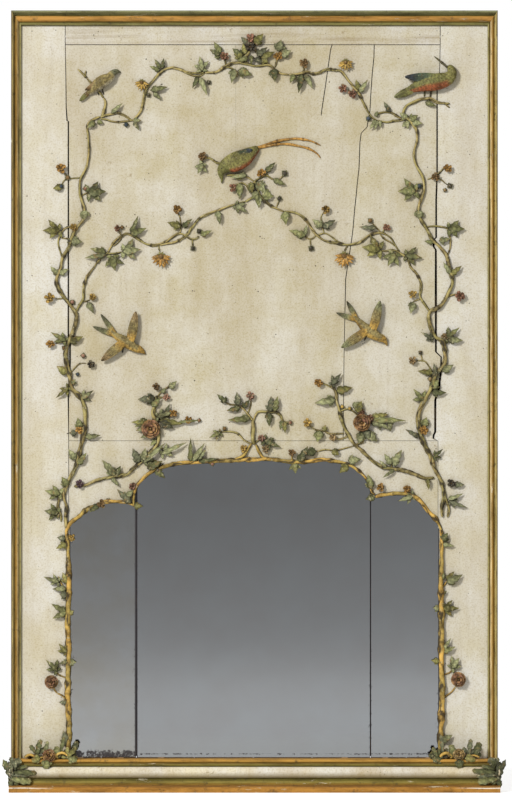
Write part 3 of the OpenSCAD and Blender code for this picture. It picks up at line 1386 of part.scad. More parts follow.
left_stile();
right_stile();
top_rail();
left_board();
middle_board();
right_board();
arch_rail();
left_spandrel();
right_spandrel();
left_moulding();
right_moulding();
top_moulding();
plinth_board();
core_rail();
foot_moulding();
frieze();
sill_board();
dowels();
left_plate();
centre_plate();
right_plate();
setting_slips();
backboards();
joint_linens();
left_back_stile();
right_back_stile();
cross_battens();
batten_screws();
hanging_plates();
plate_screws();
left_vine();
right_vine();
top_garland_left();
top_garland_centre();
top_garland_right();
mid_garland_left();
mid_garland_centre();
mid_garland_right();
left_rose_spray();
centre_spray();
right_rose_spray();
left_border();
right_border();
arch_border();
left_corner_spray();
right_corner_spray();
left_base_leaves();
right_base_leaves();
small_bird();
long_billed_bird();
long_tailed_bird();
left_swallow();
right_swallow();
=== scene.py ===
"""Looks of a painted overmantel mirror: worn cream boards, ochre and green mouldings, old mirror
plates, and carved polychrome vines, roses and birds that repeat the routes of the solids."""

import logging
import math
from dataclasses import dataclass
from enum import Enum
from typing import Optional, Sequence, Union

import bpy
import numpy as np
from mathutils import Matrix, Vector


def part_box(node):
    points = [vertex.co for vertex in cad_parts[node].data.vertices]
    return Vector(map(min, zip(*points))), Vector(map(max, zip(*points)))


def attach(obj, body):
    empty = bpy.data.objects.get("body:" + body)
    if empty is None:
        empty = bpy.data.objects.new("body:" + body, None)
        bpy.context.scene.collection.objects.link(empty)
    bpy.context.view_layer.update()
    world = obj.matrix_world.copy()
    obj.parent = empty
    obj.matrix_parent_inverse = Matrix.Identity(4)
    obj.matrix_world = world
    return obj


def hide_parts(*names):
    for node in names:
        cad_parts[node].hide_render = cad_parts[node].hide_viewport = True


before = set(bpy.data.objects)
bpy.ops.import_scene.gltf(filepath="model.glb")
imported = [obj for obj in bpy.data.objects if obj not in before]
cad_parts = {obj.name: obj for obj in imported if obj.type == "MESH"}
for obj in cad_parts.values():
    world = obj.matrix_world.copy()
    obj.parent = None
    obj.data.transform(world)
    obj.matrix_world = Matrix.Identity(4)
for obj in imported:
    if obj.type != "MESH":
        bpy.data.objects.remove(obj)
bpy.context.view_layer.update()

log = logging.getLogger("overmantel")

MM = 0.001
DATUM_DROP = 6 * MM
SPRING_RISE = 700 * MM
PANEL_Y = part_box("left_board")[0].y
SILL_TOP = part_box("sill_board")[1].z
SILL_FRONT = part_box("sill_board")[0].y
FIELD_Z = SILL_TOP - DATUM_DROP
SPRING_Z = FIELD_Z + SPRING_RISE
HALF_WIDTH = -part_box("left_back_stile")[0].x
FRAME_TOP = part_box("top_moulding")[1].z

Colour = tuple[float, float, float, float]


def linear(code: str) -> Colour:
    """Turns an sRGB hex colour into linear light.

    Args:
        code: Six hex digits, such as "#B98A3E".

    Returns:
        Red, green, blue and an alpha of 1.
    """
    part = [int(code[i : i + 2], 16) / 255 for i in (1, 3, 5)]
    flat = [c / 12.92 if c <= 0.04045 else ((c + 0.055) / 1.055) ** 2.4 for c in part]
    return flat[0], flat[1], flat[2], 1.0


class Tint(Enum):
    """Paint colours of the carving, as they read on the old work."""

    BARK = "#9A8A58"
    OCHRE = "#C09A4C"
    LEAF = "#828354"
    SAGE = "#94956A"
    DEEP = "#626440"
    OLIVE = "#87824A"
    ORANGE = "#B88B46"
    YELLOW = "#BF9C50"
    RED = "#9C7058"
    PINK = "#A8806A"
    TAN = "#A88E62"
    BROWN = "#80643E"
    DARK = "#4C463A"
    BLUE = "#46505A"
    PLUM = "#665058"
    SLATE = "#6C6D52"
    CREAM = "#CFC4A4"
    BELLY = "#A8603C"
    TEAL = "#56684F"
    ROSE = "#8E6448"
    MOSS = "#7E7C46"


LETTERS: dict[str, Tint] = {
    "o": Tint.ORANGE, "y": Tint.YELLOW, "r": Tint.RED, "k": Tint.PINK, "t": Tint.TAN,
    "b": Tint.BROWN, "d": Tint.DARK, "u": Tint.BLUE, "p": Tint.PLUM,
}


@dataclass(frozen=True)
class Growth:
    """Routes of one carved group, in millimetres from its datum.

    A stem is its width and then x and z of each point. A leaf is base, tip and width, and 3 where
    it has three lobes. A flower, bud or rose is its centre, its radius and the letter of its paint.
    Joins, infill and arches are stems, leaves and ochre stems that are laid last.
    """

    stems: tuple = ()
    leaves: tuple = ()
    blooms: tuple = ()
    buds: tuple = ()
    roses: tuple = ()
    joins: tuple = ()
    infill: tuple = ()
    arches: tuple = ()


GROWTHS: dict[str, Growth] = {}
GROWTHS["left_vine"] = Growth(stems=(
    (20, -536, 2025, -532, 1960, -540, 1905, -560, 1862, -560, 1820, -548, 1770, -550, 1738, -568, 1714,
    -584, 1688, -596, 1650, -616, 1614, -624, 1580, -636, 1545, -632, 1520, -608, 1482, -580, 1446,
    -572, 1420, -584, 1374, -604, 1325, -606, 1290, -594, 1235, -588, 1196, -558, 1164, -544, 1120,
    -546, 1065, -560, 1000, -574, 945, -598, 895, -612, 850, -604, 812, -607, 776),
    (9, -496, 2068, -520, 2058, -536, 2042, -536, 2010),
    (7, -570, 1712, -596, 1714, -616, 1702, -630, 1670, -628, 1648, -618, 1615),
    (10, -606, 880, -622, 855, -632, 815, -622, 785, -622, 766),
    (10, -574, 1440, -562, 1462, -550, 1484, -549, 1515, -540, 1550, -513, 1588, -507, 1600),
    (11, -490, 2068, -482, 2092, -479, 2116, -486, 2130), (9, -540, 2193, -553, 2207, -568, 2221),
    (6, -545, 2198, -541, 2216), (5, -560, 1872, -600, 1868, -612, 1862, -620, 1848),
    (5, -600, 1870, -610, 1888), (5, -622, 1678, -600, 1676, -592, 1672),
    (5, -556, 1812, -545, 1820, -530, 1825), (5, -594, 1240, -578, 1260, -560, 1275, -540, 1275),
    (5, -560, 1475, -545, 1474, -528, 1480), (5, -612, 1484, -640, 1482), (5, -606, 1345, -640, 1340),
), leaves=(
    (-535, 1824, -481, 1828, 60, 3), (-624, 1702, -676, 1705, 46, 3), (-548, 1768, -545, 1736, 24),
    (-618, 1842, -645, 1838, 20), (-590, 1668, -555, 1667, 24), (-630, 1560, -655, 1583, 18),
    (-628, 1562, -600, 1578, 18), (-604, 1346, -650, 1374, 34, 3), (-595, 1342, -555, 1362, 22),
    (-537, 1472, -515, 1440, 18), (-600, 1243, -632, 1265, 26), (-596, 1200, -633, 1165, 28),
    (-588, 1210, -575, 1222, 16), (-558, 1160, -520, 1186, 32, 3), (-560, 1065, -567, 1098, 22),
    (-572, 1052, -594, 1050, 18), (-545, 1038, -498, 1044, 18), (-573, 965, -595, 998, 22),
    (-568, 950, -540, 984, 20), (-600, 880, -618, 908, 24), (-622, 855, -670, 865, 42, 3),
    (-628, 795, -672, 802, 40, 3), (-512, 2052, -536, 2034, 18), (-505, 2055, -488, 2046, 14),
), blooms=(
    (-622, 1903, 17, "o"), (-658, 1485, 16, "y"), (-520, 1488, 13, "y"), (-655, 1338, 14, "o"),
    (-525, 1272, 13, "d"), (-562, 1062, 13, "o"), (-562, 888, 14, "p"), (-580, 1712, 13, "y"),
), buds=(
    (-600, 1872, 10, "b"), (-543, 1837, 10, "r"), (-593, 1668, 10, "d"), (-585, 1472, 10, "k"),
    (-612, 1325, 9, "b"), (-550, 1300, 10, "k"), (-568, 1240, 8, "u"), (-622, 1844, 11, "u"),
), joins=(
    (8, -486, 2128, -494, 2142, -516, 2166, -540, 2193), (13, -607, 786, -606, 764, -602, 744),
    (9, -508, 1596, -496, 1610, -484, 1622, -468, 1632),
))
GROWTHS["right_vine"] = Growth(stems=(
    (20, 500, 2055, 520, 2030, 522, 1990, 512, 1950, 520, 1912, 542, 1870, 545, 1838, 536, 1805,
    526, 1770, 534, 1738, 556, 1702, 570, 1675, 595, 1650, 618, 1618, 626, 1575, 637, 1540, 624, 1504,
    600, 1462, 564, 1440, 562, 1405, 580, 1362, 604, 1345, 612, 1310, 608, 1272, 580, 1236, 568, 1195,
    542, 1150, 526, 1108, 530, 1065, 542, 1022, 566, 975, 578, 938, 600, 895, 609, 850, 602, 812,
    604, 780),
    (7, 553, 1714, 575, 1716, 600, 1714, 620, 1708, 626, 1688, 630, 1668, 628, 1645, 620, 1620),
    (10, 606, 860, 622, 820, 624, 800, 620, 780),
    (9, 562, 1442, 552, 1458, 540, 1475, 532, 1492, 534, 1512, 534, 1535, 520, 1564, 502, 1584, 492, 1610,
    480, 1624),
    (11, 488, 2062, 478, 2078, 488, 2102, 512, 2114, 540, 2125, 566, 2125, 588, 2114, 628, 2110),
    (6, 606, 2114, 628, 2096), (5, 555, 1866, 575, 1872, 600, 1865, 612, 1855, 622, 1848),
    (5, 580, 1236, 563, 1262, 550, 1280, 538, 1284, 518, 1283), (5, 536, 1484, 520, 1478, 510, 1474),
    (5, 540, 1284, 535, 1304),
), leaves=(
    (490, 2050, 475, 2036, 14), (548, 2116, 580, 2100, 16), (520, 1828, 465, 1832, 60, 3),
    (527, 1768, 528, 1740, 26), (622, 1708, 672, 1710, 48, 3), (592, 1668, 628, 1674, 18),
    (576, 1664, 547, 1666, 14), (630, 1562, 609, 1598, 16), (632, 1560, 662, 1588, 18),
    (577, 1352, 538, 1374, 28), (612, 1354, 655, 1388, 36), (620, 1350, 666, 1352, 22),
    (603, 1248, 636, 1271, 22), (584, 1228, 576, 1274, 28), (575, 1244, 528, 1253, 20),
    (568, 1195, 590, 1220, 26), (568, 1180, 613, 1181, 20), (545, 1152, 515, 1192, 36, 3),
    (543, 1072, 553, 1100, 24), (532, 1038, 487, 1060, 16), (574, 970, 602, 1000, 26, 3),
    (625, 832, 680, 812, 28), (620, 838, 668, 852, 14), (640, 885, 672, 885, 18),
    (511, 1474, 500, 1438, 22),
), blooms=(
    (620, 1903, 15, "o"), (580, 1875, 14, "b"), (660, 1492, 18, "r"), (508, 1498, 13, "y"),
    (508, 1283, 14, "t"), (545, 1060, 16, "o"), (632, 890, 15, "d"), (610, 1362, 12, "t"),
), buds=(
    (530, 1845, 11, "u"), (628, 1846, 11, "d"), (612, 1832, 8, "t"), (533, 1310, 8, "d"),
    (565, 1225, 10, "t"),
), joins=(
    (6, 600, 1470, 616, 1486, 636, 1495, 655, 1497), (12, 478, 2066, 494, 2060, 510, 2044, 520, 2022),
    (9, 492, 1608, 482, 1621, 470, 1628, 456, 1636), (6, 575, 1872, 590, 1884, 602, 1896, 612, 1908),
), infill=(
    (498, 2056, 524, 2070, 20), (492, 2060, 468, 2080, 18), (504, 2050, 537, 2044, 20),
    (488, 2056, 494, 2030, 16),
))
GROWTHS["top_garland_left"] = Growth(stems=(
    (9, -496, 2066, -478, 2072, -455, 2077, -438, 2079, -418, 2072, -400, 2060, -390, 2055),
    (7, -496, 2062, -475, 2058, -455, 2052, -435, 2051, -412, 2054, -392, 2055),
    (10, -392, 2054, -375, 2072, -363, 2092, -357, 2118, -352, 2145, -342, 2165, -325, 2185, -312, 2200,
    -297, 2213, -283, 2222, -262, 2225, -240, 2220, -215, 2211, -188, 2208, -160, 2210),
    (6, -228, 2212, -205, 2202, -180, 2198, -158, 2208),
), leaves=(
    (-460, 2078, -428, 2110, 14), (-390, 2055, -365, 2055, 14), (-388, 2052, -372, 2027, 14),
    (-335, 2152, -283, 2165, 18), (-325, 2145, -300, 2126, 14), (-304, 2215, -335, 2230, 14),
    (-303, 2220, -318, 2252, 14), (-298, 2222, -290, 2253, 14), (-168, 2214, -176, 2258, 36, 3),
    (-178, 2196, -150, 2143, 18), (-180, 2196, -200, 2163, 14),
), blooms=(
    (-362, 2172, 20, "y"),
), buds=(
    (-341, 2137, 9, "d"), (-412, 2042, 10, "u"), (-147, 2178, 9, "d"),
))
GROWTHS["top_garland_centre"] = Growth(stems=(
    (10, -160, 2210, -130, 2210, -112, 2217, -92, 2230, -70, 2240, -45, 2241, -20, 2237, 0, 2231,
    20, 2231, 40, 2235, 55, 2229, 70, 2216, 88, 2206, 110, 2203), (12, -48, 2242, -28, 2262, -12, 2284),
    (8, -10, 2290, 5, 2278, 14, 2262, 24, 2256, 34, 2264), (6, -95, 2228, -75, 2224, -62, 2216),
    (6, -97, 2262, -92, 2234), (6, 75, 2262, 66, 2226),
), leaves=(
    (-62, 2222, -75, 2180, 24), (-52, 2218, -12, 2200, 26), (-110, 2265, -142, 2281, 20),
    (-108, 2272, -130, 2304, 20), (-110, 2262, -128, 2258, 14), (-38, 2258, -68, 2278, 24),
    (-2, 2300, 28, 2330, 26), (-20, 2300, -42, 2322, 18), (24, 2256, 42, 2242, 20),
    (75, 2278, 86, 2312, 26), (84, 2265, 116, 2277, 24), (62, 2222, 65, 2182, 24),
    (-10, 2266, -10, 2236, 14),
), blooms=(
    (-12, 2318, 16, "r"), (-97, 2262, 15, "r"), (75, 2262, 15, "o"), (-14, 2292, 18, "d"),
), infill=(
    (-38, 2262, -68, 2286, 20), (-30, 2268, -36, 2300, 18), (8, 2262, 38, 2290, 20),
    (20, 2256, 62, 2274, 22), (-20, 2258, -52, 2246, 18), (0, 2256, 26, 2240, 16),
))
GROWTHS["top_garland_right"] = Growth(stems=(
    (10, 110, 2203, 132, 2204, 152, 2208, 170, 2212, 186, 2206, 205, 2208, 222, 2216, 240, 2220,
    258, 2218, 276, 2215, 290, 2200, 305, 2180, 320, 2162, 335, 2145, 346, 2120, 356, 2100, 366, 2082,
    378, 2066, 394, 2056), (8, 385, 2074, 415, 2082, 440, 2080, 458, 2070, 475, 2060),
    (8, 394, 2056, 425, 2050, 445, 2054, 462, 2056, 484, 2058), (5, 320, 2163, 312, 2150, 300, 2154),
    (5, 160, 2236, 158, 2210),
), leaves=(
    (128, 2204, 115, 2178, 16), (152, 2206, 143, 2148, 20), (165, 2206, 182, 2160, 18),
    (334, 2154, 326, 2184, 16), (336, 2144, 364, 2182, 16), (392, 2058, 370, 2030, 14),
    (396, 2056, 385, 2028, 12), (402, 2056, 404, 2034, 12), (388, 2068, 396, 2084, 12),
    (435, 2082, 415, 2113, 14),
), blooms=(
    (160, 2240, 15, "b"), (293, 2236, 22, "y"), (285, 2158, 14, "r"), (315, 2140, 14, "r"),
), buds=(
    (143, 2182, 9, "d"), (366, 2062, 10, "u"),
))
GROWTHS["mid_garland_left"] = Growth(stems=(
    (9, -472, 1632, -462, 1648, -450, 1667, -432, 1681, -412, 1692, -395, 1687, -372, 1674, -350, 1660,
    -330, 1655, -308, 1657, -288, 1665, -262, 1682, -242, 1693, -222, 1686, -205, 1675, -190, 1675,
    -178, 1684),
    (9, -305, 1655, -280, 1660, -252, 1666, -228, 1680, -212, 1696, -196, 1718, -178, 1740, -150, 1755,
    -118, 1767, -88, 1778, -58, 1788, -30, 1795), (6, -456, 1652, -440, 1662, -425, 1680),
    (5, -240, 1692, -236, 1712, -240, 1745, -247, 1760), (5, -308, 1655, -306, 1640, -303, 1634),
    (5, -200, 1676, -198, 1650), (6, -478, 1628, -445, 1629, -420, 1635), (5, -468, 1627, -458, 1614),
    (5, -436, 1704, -428, 1686),
), leaves=(
    (-424, 1634, -370, 1643, 52, 3), (-458, 1620, -450, 1576, 50, 3), (-476, 1632, -524, 1644, 20),
    (-474, 1626, -540, 1612, 18), (-398, 1690, -372, 1744, 16), (-400, 1690, -350, 1706, 22),
    (-236, 1712, -276, 1730, 22), (-232, 1712, -202, 1738, 16), (-118, 1766, -112, 1724, 18),
    (-62, 1786, -25, 1762, 34, 3), (-174, 1686, -140, 1702, 16),
), blooms=(
    (-440, 1708, 12, "r"), (-248, 1770, 16, "o"), (-300, 1610, 28, "o"),
), buds=(
    (-425, 1712, 8, "b"), (-178, 1700, 10, "d"), (-198, 1645, 10, "d"),
))
GROWTHS["mid_garland_centre"] = Growth(stems=(
    (7, -90, 1880, -62, 1879, -40, 1879, -20, 1872, 0, 1860),
    (8, -104, 1918, -122, 1921, -145, 1935, -168, 1930, -166, 1910), (6, 2, 1862, -10, 1845, -12, 1820),
    (10, 0, 1862, 10, 1838, 16, 1818, 30, 1800, 48, 1785, 68, 1774, 95, 1763),
    (7, 0, 1860, 12, 1868, 38, 1878, 55, 1869, 75, 1865, 92, 1878),
    (7, -66, 1846, -40, 1854, -25, 1846, -18, 1828), (9, -30, 1795, -10, 1806, 10, 1824),
    (5, 68, 1774, 80, 1798), (6, 38, 1878, 42, 1890),
), leaves=(
    (-48, 1850, -46, 1806, 20), (20, 1862, 40, 1815, 20, 3), (28, 1806, 60, 1812, 18),
    (2, 1830, 4, 1800, 20), (14, 1812, 15, 1776, 18), (35, 1890, 66, 1918, 18), (60, 1868, 96, 1848, 18),
    (-166, 1918, -180, 1886, 36, 3), (-62, 1876, -40, 1866, 12), (-10, 1856, -14, 1824, 14),
), blooms=(
    (-168, 1940, 15, "b"), (22, 1888, 15, "o"), (-68, 1840, 14, "r"),
), buds=(
    (97, 1886, 12, "d"), (80, 1805, 10, "d"),
), infill=(
    (8, 1860, 30, 1828, 26), (24, 1826, 58, 1812, 24), (2, 1828, 14, 1778, 30), (-12, 1858, -8, 1826, 20),
    (-48, 1856, -48, 1808, 24), (-22, 1880, -76, 1876, 16),
))
GROWTHS["mid_garland_right"] = Growth(stems=(
    (9, 95, 1763, 128, 1760, 152, 1748, 170, 1730, 184, 1708, 200, 1688, 225, 1670, 255, 1663, 285, 1658,
    302, 1656, 325, 1660, 345, 1668, 365, 1684, 385, 1693, 408, 1695, 425, 1688, 440, 1676, 452, 1655,
    466, 1634), (6, 203, 1688, 228, 1693, 248, 1682, 266, 1668, 290, 1660),
    (6, 402, 1692, 418, 1675, 436, 1665, 450, 1652), (5, 200, 1690, 185, 1676, 168, 1678, 163, 1688),
    (5, 178, 1678, 181, 1652), (5, 224, 1692, 218, 1718, 214, 1745, 222, 1760), (5, 300, 1655, 288, 1636),
    (6, 466, 1634, 440, 1640, 418, 1636, 402, 1638), (6, 484, 1622, 462, 1628, 450, 1630),
    (5, 408, 1694, 392, 1712, 378, 1726), (5, 410, 1694, 422, 1712),
), leaves=(
    (406, 1640, 350, 1652, 56, 3), (450, 1632, 432, 1590, 46, 3), (484, 1622, 536, 1618, 40, 3),
    (98, 1764, 102, 1724, 24), (166, 1684, 114, 1700, 24), (162, 1686, 165, 1718, 14),
    (218, 1712, 190, 1738, 22), (218, 1712, 259, 1732, 22), (392, 1710, 340, 1712, 16),
), blooms=(
    (230, 1770, 15, "y"), (288, 1612, 28, "o"), (425, 1712, 13, "r"),
), buds=(
    (182, 1645, 11, "d"), (372, 1734, 10, "b"),
))
GROWTHS["arch_border"] = Growth(stems=(
    (11, -388, 114, -388, 160), (11, 380, 160, 386, 142), (12, -70, 264, -40, 276, -22, 298, -8, 318),
    (12, 55, 267, 28, 273, 14, 292, 5, 316), (6, 120, 260, 120, 285),
), leaves=(
    (-500, 122, -528, 100, 18), (-388, 118, -360, 117, 18), (-396, 124, -438, 168, 22),
    (-318, 234, -290, 208, 20), (-205, 257, -208, 330, 16), (-200, 258, -163, 314, 18),
    (-180, 258, -118, 272, 14), (128, 258, 132, 224, 40, 3), (140, 258, 170, 305, 24),
    (300, 250, 275, 226, 24), (388, 148, 360, 140, 22), (376, 172, 362, 214, 24),
    (512, 150, 465, 135, 32, 3),
), blooms=(
    (-492, 124, 14, "b"), (-390, 180, 14, "k"), (405, 178, 14, "o"), (490, 172, 14, "o"),
    (120, 288, 12, "b"),
), buds=(
    (-470, 136, 8, "b"), (-310, 232, 12, "d"), (-135, 252, 9, "k"),
), infill=(
    (-345, 236, -300, 262, 24), (-190, 268, -160, 296, 24), (300, 262, 340, 270, 24),
    (-420, 138, -392, 168, 22),
), arches=(
    (13, -601, 16, -604, 28, -603, 40, -592, 62, -565, 82, -540, 105, -512, 118, -480, 130, -440, 131,
    -405, 127, -388, 118),
    (13, -388, 155, -378, 183, -355, 208, -330, 228, -300, 240, -262, 251, -225, 256, -150, 260, -70, 264,
    50, 267, 90, 262, 130, 258, 170, 259, 215, 266, 250, 262, 285, 255, 315, 244, 340, 226, 358, 206,
    371, 182, 380, 155),
    (13, 386, 146, 410, 152, 445, 157, 482, 156, 512, 149, 535, 130, 558, 100, 580, 78, 593, 58, 600, 40,
    602, 26, 600, 14),
))
GROWTHS["left_rose_spray"] = Growth(stems=(
    (12, -580, 180, -545, 184, -510, 198, -475, 207, -440, 213, -408, 220, -388, 240, -362, 258,
    -342, 268),
    (15, -362, 260, -335, 288, -314, 312, -308, 345, -318, 385, -325, 418, -318, 445, -314, 472),
    (6, -350, 262, -320, 262, -300, 250), (6, -318, 302, -285, 300, -268, 286),
    (6, -313, 468, -295, 488, -278, 498, -262, 512), (6, -314, 466, -290, 466),
    (6, -318, 394, -296, 392, -266, 412),
), leaves=(
    (-448, 213, -482, 264, 26), (-446, 215, -430, 243, 20), (-460, 207, -434, 184, 14),
    (-370, 256, -392, 298, 26), (-364, 260, -352, 292, 16), (-340, 385, -392, 386, 18),
    (-345, 370, -378, 358, 16), (-332, 352, -363, 335, 16), (-314, 330, -334, 312, 14),
    (-306, 392, -237, 385, 22), (-290, 400, -276, 444, 30), (-318, 462, -371, 462, 26),
    (-300, 482, -285, 494, 14), (-275, 495, -250, 515, 18), (-248, 386, -176, 393, 10),
), blooms=(
    (-315, 500, 13, "b"), (-283, 467, 12, "k"), (-260, 415, 13, "o"), (-212, 393, 14, "o"),
), buds=(
    (-178, 392, 8, "r"), (-300, 250, 7, "d"), (-270, 284, 7, "d"),
), roses=(
    (-333, 365, 30, "r"),
), infill=(
    (-316, 402, -262, 420, 30), (-302, 388, -262, 370, 26), (-345, 396, -380, 372, 22),
    (-330, 436, -304, 464, 20), (-359, 253, -293, 318, 34, 3), (-303, 281, -227, 323, 34, 3),
    (-358, 262, -350, 300, 22),
))
GROWTHS["centre_spray"] = Growth(stems=(
    (16, -2, 314, -6, 345, -4, 370, -5, 394), (9, -5, 390, -20, 411, -34, 428, -48, 440),
    (6, -46, 438, -66, 442, -86, 446, -105, 462),
    (9, -4, 388, 4, 408, 14, 420, 40, 419, 68, 418, 82, 410, 92, 390, 112, 385),
    (7, -8, 316, -32, 328, -48, 345, -65, 354, -90, 356, -112, 354), (6, 0, 318, 24, 334, 40, 324),
    (5, -22, 412, -12, 440, -12, 462),
), leaves=(
    (-90, 448, -116, 476, 18), (-52, 440, -58, 480, 20), (-44, 436, -86, 422, 18),
    (-36, 432, -18, 458, 16), (52, 420, 50, 466, 22), (64, 420, 74, 466, 20), (45, 418, 50, 376, 20),
    (90, 392, 82, 364, 14), (94, 390, 101, 354, 16), (-12, 400, -80, 390, 22), (-108, 354, -142, 338, 28),
    (30, 330, 80, 305, 36, 3),
), blooms=(
    (-12, 470, 15, "k"), (-35, 302, 13, "y"), (35, 300, 13, "t"), (22, 336, 12, "k"),
), buds=(
    (115, 385, 9, "r"), (-96, 366, 9, "b"),
))
GROWTHS["right_rose_spray"] = Growth(stems=(
    (13, 578, 208, 545, 207, 510, 222, 480, 231, 445, 237, 412, 243, 385, 258, 362, 278, 340, 300,
    320, 316, 302, 345, 288, 372, 278, 402, 270, 435, 264, 455, 262, 478, 252, 498, 244, 510),
    (6, 254, 494, 232, 506, 214, 512), (6, 304, 342, 275, 332, 256, 336), (6, 266, 452, 246, 462),
    (6, 274, 422, 304, 428, 334, 408), (6, 322, 314, 348, 322, 350, 350),
    (6, 288, 350, 240, 350, 225, 358, 195, 363, 176, 376), (6, 200, 292, 228, 298, 262, 296, 326, 312),
    (6, 440, 236, 442, 256),
), leaves=(
    (248, 506, 275, 542, 30), (262, 485, 310, 500, 26), (262, 460, 198, 448, 26),
    (330, 416, 342, 452, 24), (372, 398, 425, 412, 24), (372, 392, 478, 398, 20),
    (372, 388, 422, 372, 20), (436, 394, 438, 358, 18), (347, 356, 335, 328, 28),
    (360, 364, 366, 330, 22), (210, 360, 204, 325, 26), (222, 358, 228, 376, 14),
    (250, 298, 270, 282, 22), (200, 292, 155, 290, 24), (440, 250, 418, 282, 20),
    (445, 250, 468, 296, 24), (443, 248, 466, 262, 14), (425, 240, 402, 262, 12),
    (450, 236, 416, 208, 12), (556, 206, 560, 172, 14),
), blooms=(
    (370, 398, 16, "r"), (344, 416, 13, "r"), (206, 513, 15, "o"), (252, 337, 14, "t"),
    (170, 383, 15, "y"),
), buds=(
    (282, 436, 8, "y"), (306, 430, 8, "y"),
), roses=(
    (345, 385, 28, "r"),
), infill=(
    (316, 433, 343, 450, 22), (362, 354, 392, 325, 26), (343, 354, 335, 320, 26),
    (382, 389, 422, 418, 30), (392, 389, 436, 364, 28),
))
GROWTHS["left_border"] = Growth(stems=(
    (20, -598, 30, -596, 120, -600, 220, -597, 330, -600, 450, -596, 560, -599, 660, -602, 732),
    (6, -602, 540, -620, 568, -632, 592), (6, -600, 192, -618, 208, -636, 218, -648, 236),
    (5, -598, 262, -630, 276, -636, 292),
), leaves=(
    (-606, 712, -632, 716, 18), (-604, 698, -634, 680, 18), (-626, 572, -674, 588, 30),
    (-604, 568, -614, 602, 18), (-604, 552, -646, 550, 18), (-602, 530, -624, 532, 22),
    (-604, 478, -650, 498, 20), (-604, 476, -646, 460, 20), (-596, 470, -582, 480, 16),
    (-602, 345, -628, 372, 30), (-632, 286, -664, 322, 36, 3), (-600, 318, -626, 312, 14),
    (-600, 315, -574, 315, 20), (-600, 188, -626, 185, 14), (-602, 45, -610, 92, 26),
), blooms=(
    (-588, 715, 12, "y"),
), roses=(
    (-652, 252, 22, "r"),
))
GROWTHS["right_border"] = Growth(stems=(
    (20, 595, 30, 600, 130, 603, 230, 600, 340, 601, 450, 599, 560, 601, 660, 600, 744),
    (6, 600, 548, 612, 565, 624, 582), (6, 600, 194, 618, 208, 634, 220, 648, 240),
    (5, 598, 270, 630, 284, 636, 302),
), leaves=(
    (602, 705, 618, 730, 22), (603, 695, 640, 689, 14), (598, 580, 608, 605, 18),
    (616, 570, 666, 592, 26), (618, 578, 638, 606, 18), (602, 488, 654, 488, 40, 3),
    (594, 488, 576, 490, 20), (602, 352, 632, 388, 28), (604, 348, 643, 362, 18),
    (632, 296, 658, 325, 40, 3), (594, 318, 570, 320, 16), (598, 60, 632, 82, 24),
    (600, 528, 616, 545, 12),
), roses=(
    (655, 260, 24, "r"),
))


@dataclass(frozen=True)
class Plane:
    """A place to carve on: its origin and the ways along, up and out of it."""

    origin: tuple[float, float, float]
    along: tuple[float, float, float] = (1.0, 0.0, 0.0)
    up: tuple[float, float, float] = (0.0, 0.0, 1.0)
    out: tuple[float, float, float] = (0.0, -1.0, 0.0)


FIELD = Plane((0.0, PANEL_Y, FIELD_Z))
SPRING = Plane((0.0, PANEL_Y, SPRING_Z))
BASE_FRONT = Plane((0.0, SILL_FRONT, 0.0))


def smooth_run(points: np.ndarray, step: float) -> np.ndarray:
    """Resamples a route evenly on a cubic that passes through its points.

    Between b and c, with a and d beyond, a point at share t is half of
    2b + (c-a)t + (2a-5b+4c-d)t^2 + (3b-a-3c+d)t^3.

    Args:
        points: One row a point; the first two columns are its place.
        step: Distance between the samples.

    Returns:
        The samples, with the same columns.
    """
    ends = np.vstack([2 * points[0] - points[1], points, 2 * points[-1] - points[-2]])
    reach = np.linalg.norm(np.diff(points[:, :2], axis=0), axis=1)
    at = np.concatenate([[0.0], np.cumsum(reach)])
    s = np.linspace(0, at[-1], max(5, int(round(at[-1] / step)) + 1))
    k = np.clip(np.searchsorted(at, s, side="right") - 1, 0, len(points) - 2)
    t = ((s - at[k]) / reach[k])[:, None]
    a, b, c, d = ends[k], ends[k + 1], ends[k + 2], ends[k + 3]
    return 0.5 * (2 * b + (c - a) * t + (2 * a - 5 * b + 4 * c - d) * t**2 + (3 * b - a - 3 * c + d) * t**3)


def along_and_side(path: np.ndarray) -> tuple[np.ndarray, np.ndarray]:
    """Finds the distance along a route and the unit way to its left.

    Args:
        path: Points, x and z.

    Returns:
        Distances and left ways.
    """
    way = np.gradient(path, axis=0)
    way /= np.maximum(np.linalg.norm(way, axis=1, keepdims=True), 1e-9)
    s = np.concatenate([[0.0], np.cumsum(np.linalg.norm(np.diff(path, axis=0), axis=1))])
    return s, np.stack([-way[:, 1], way[:, 0]], 1)


def swept(path: np.ndarray, side: np.ndarray, across: np.ndarray, turn: np.ndarray,
          out: np.ndarray) -> np.ndarray:
    """Carries rings along a route, each point across cos(turn) to its left and out."""
    return np.stack([path[:, :1] + side[:, :1] * across * np.cos(turn),
                     path[:, 1:2] + side[:, 1:] * across * np.cos(turn), out], -1)


def laid(foot: Sequence[float], angle: float, x: np.ndarray, z: np.ndarray, out: np.ndarray) -> np.ndarray:
    """Turns a flat shape by an angle, from x towards z, and sets its foot in place."""
    c, s = math.cos(angle), math.sin(angle)
    return np.stack([foot[0] + c * x - s * z, foot[1] + s * x + c * z, out], -1)


def smoothstep(low: float, high: float, value: np.ndarray) -> np.ndarray:
    """Eases from 0 at low to 1 at high, as t*t*(3-2t)."""
    t = np.clip((value - low) / (high - low), 0, 1)
    return t * t * (3 - 2 * t)


def mix(a: np.ndarray, b: np.ndarray, share: np.ndarray) -> np.ndarray:
    """Blends two colours by a share that has one value for each point."""
    return a * (1 - share[..., None]) + b * share[..., None]


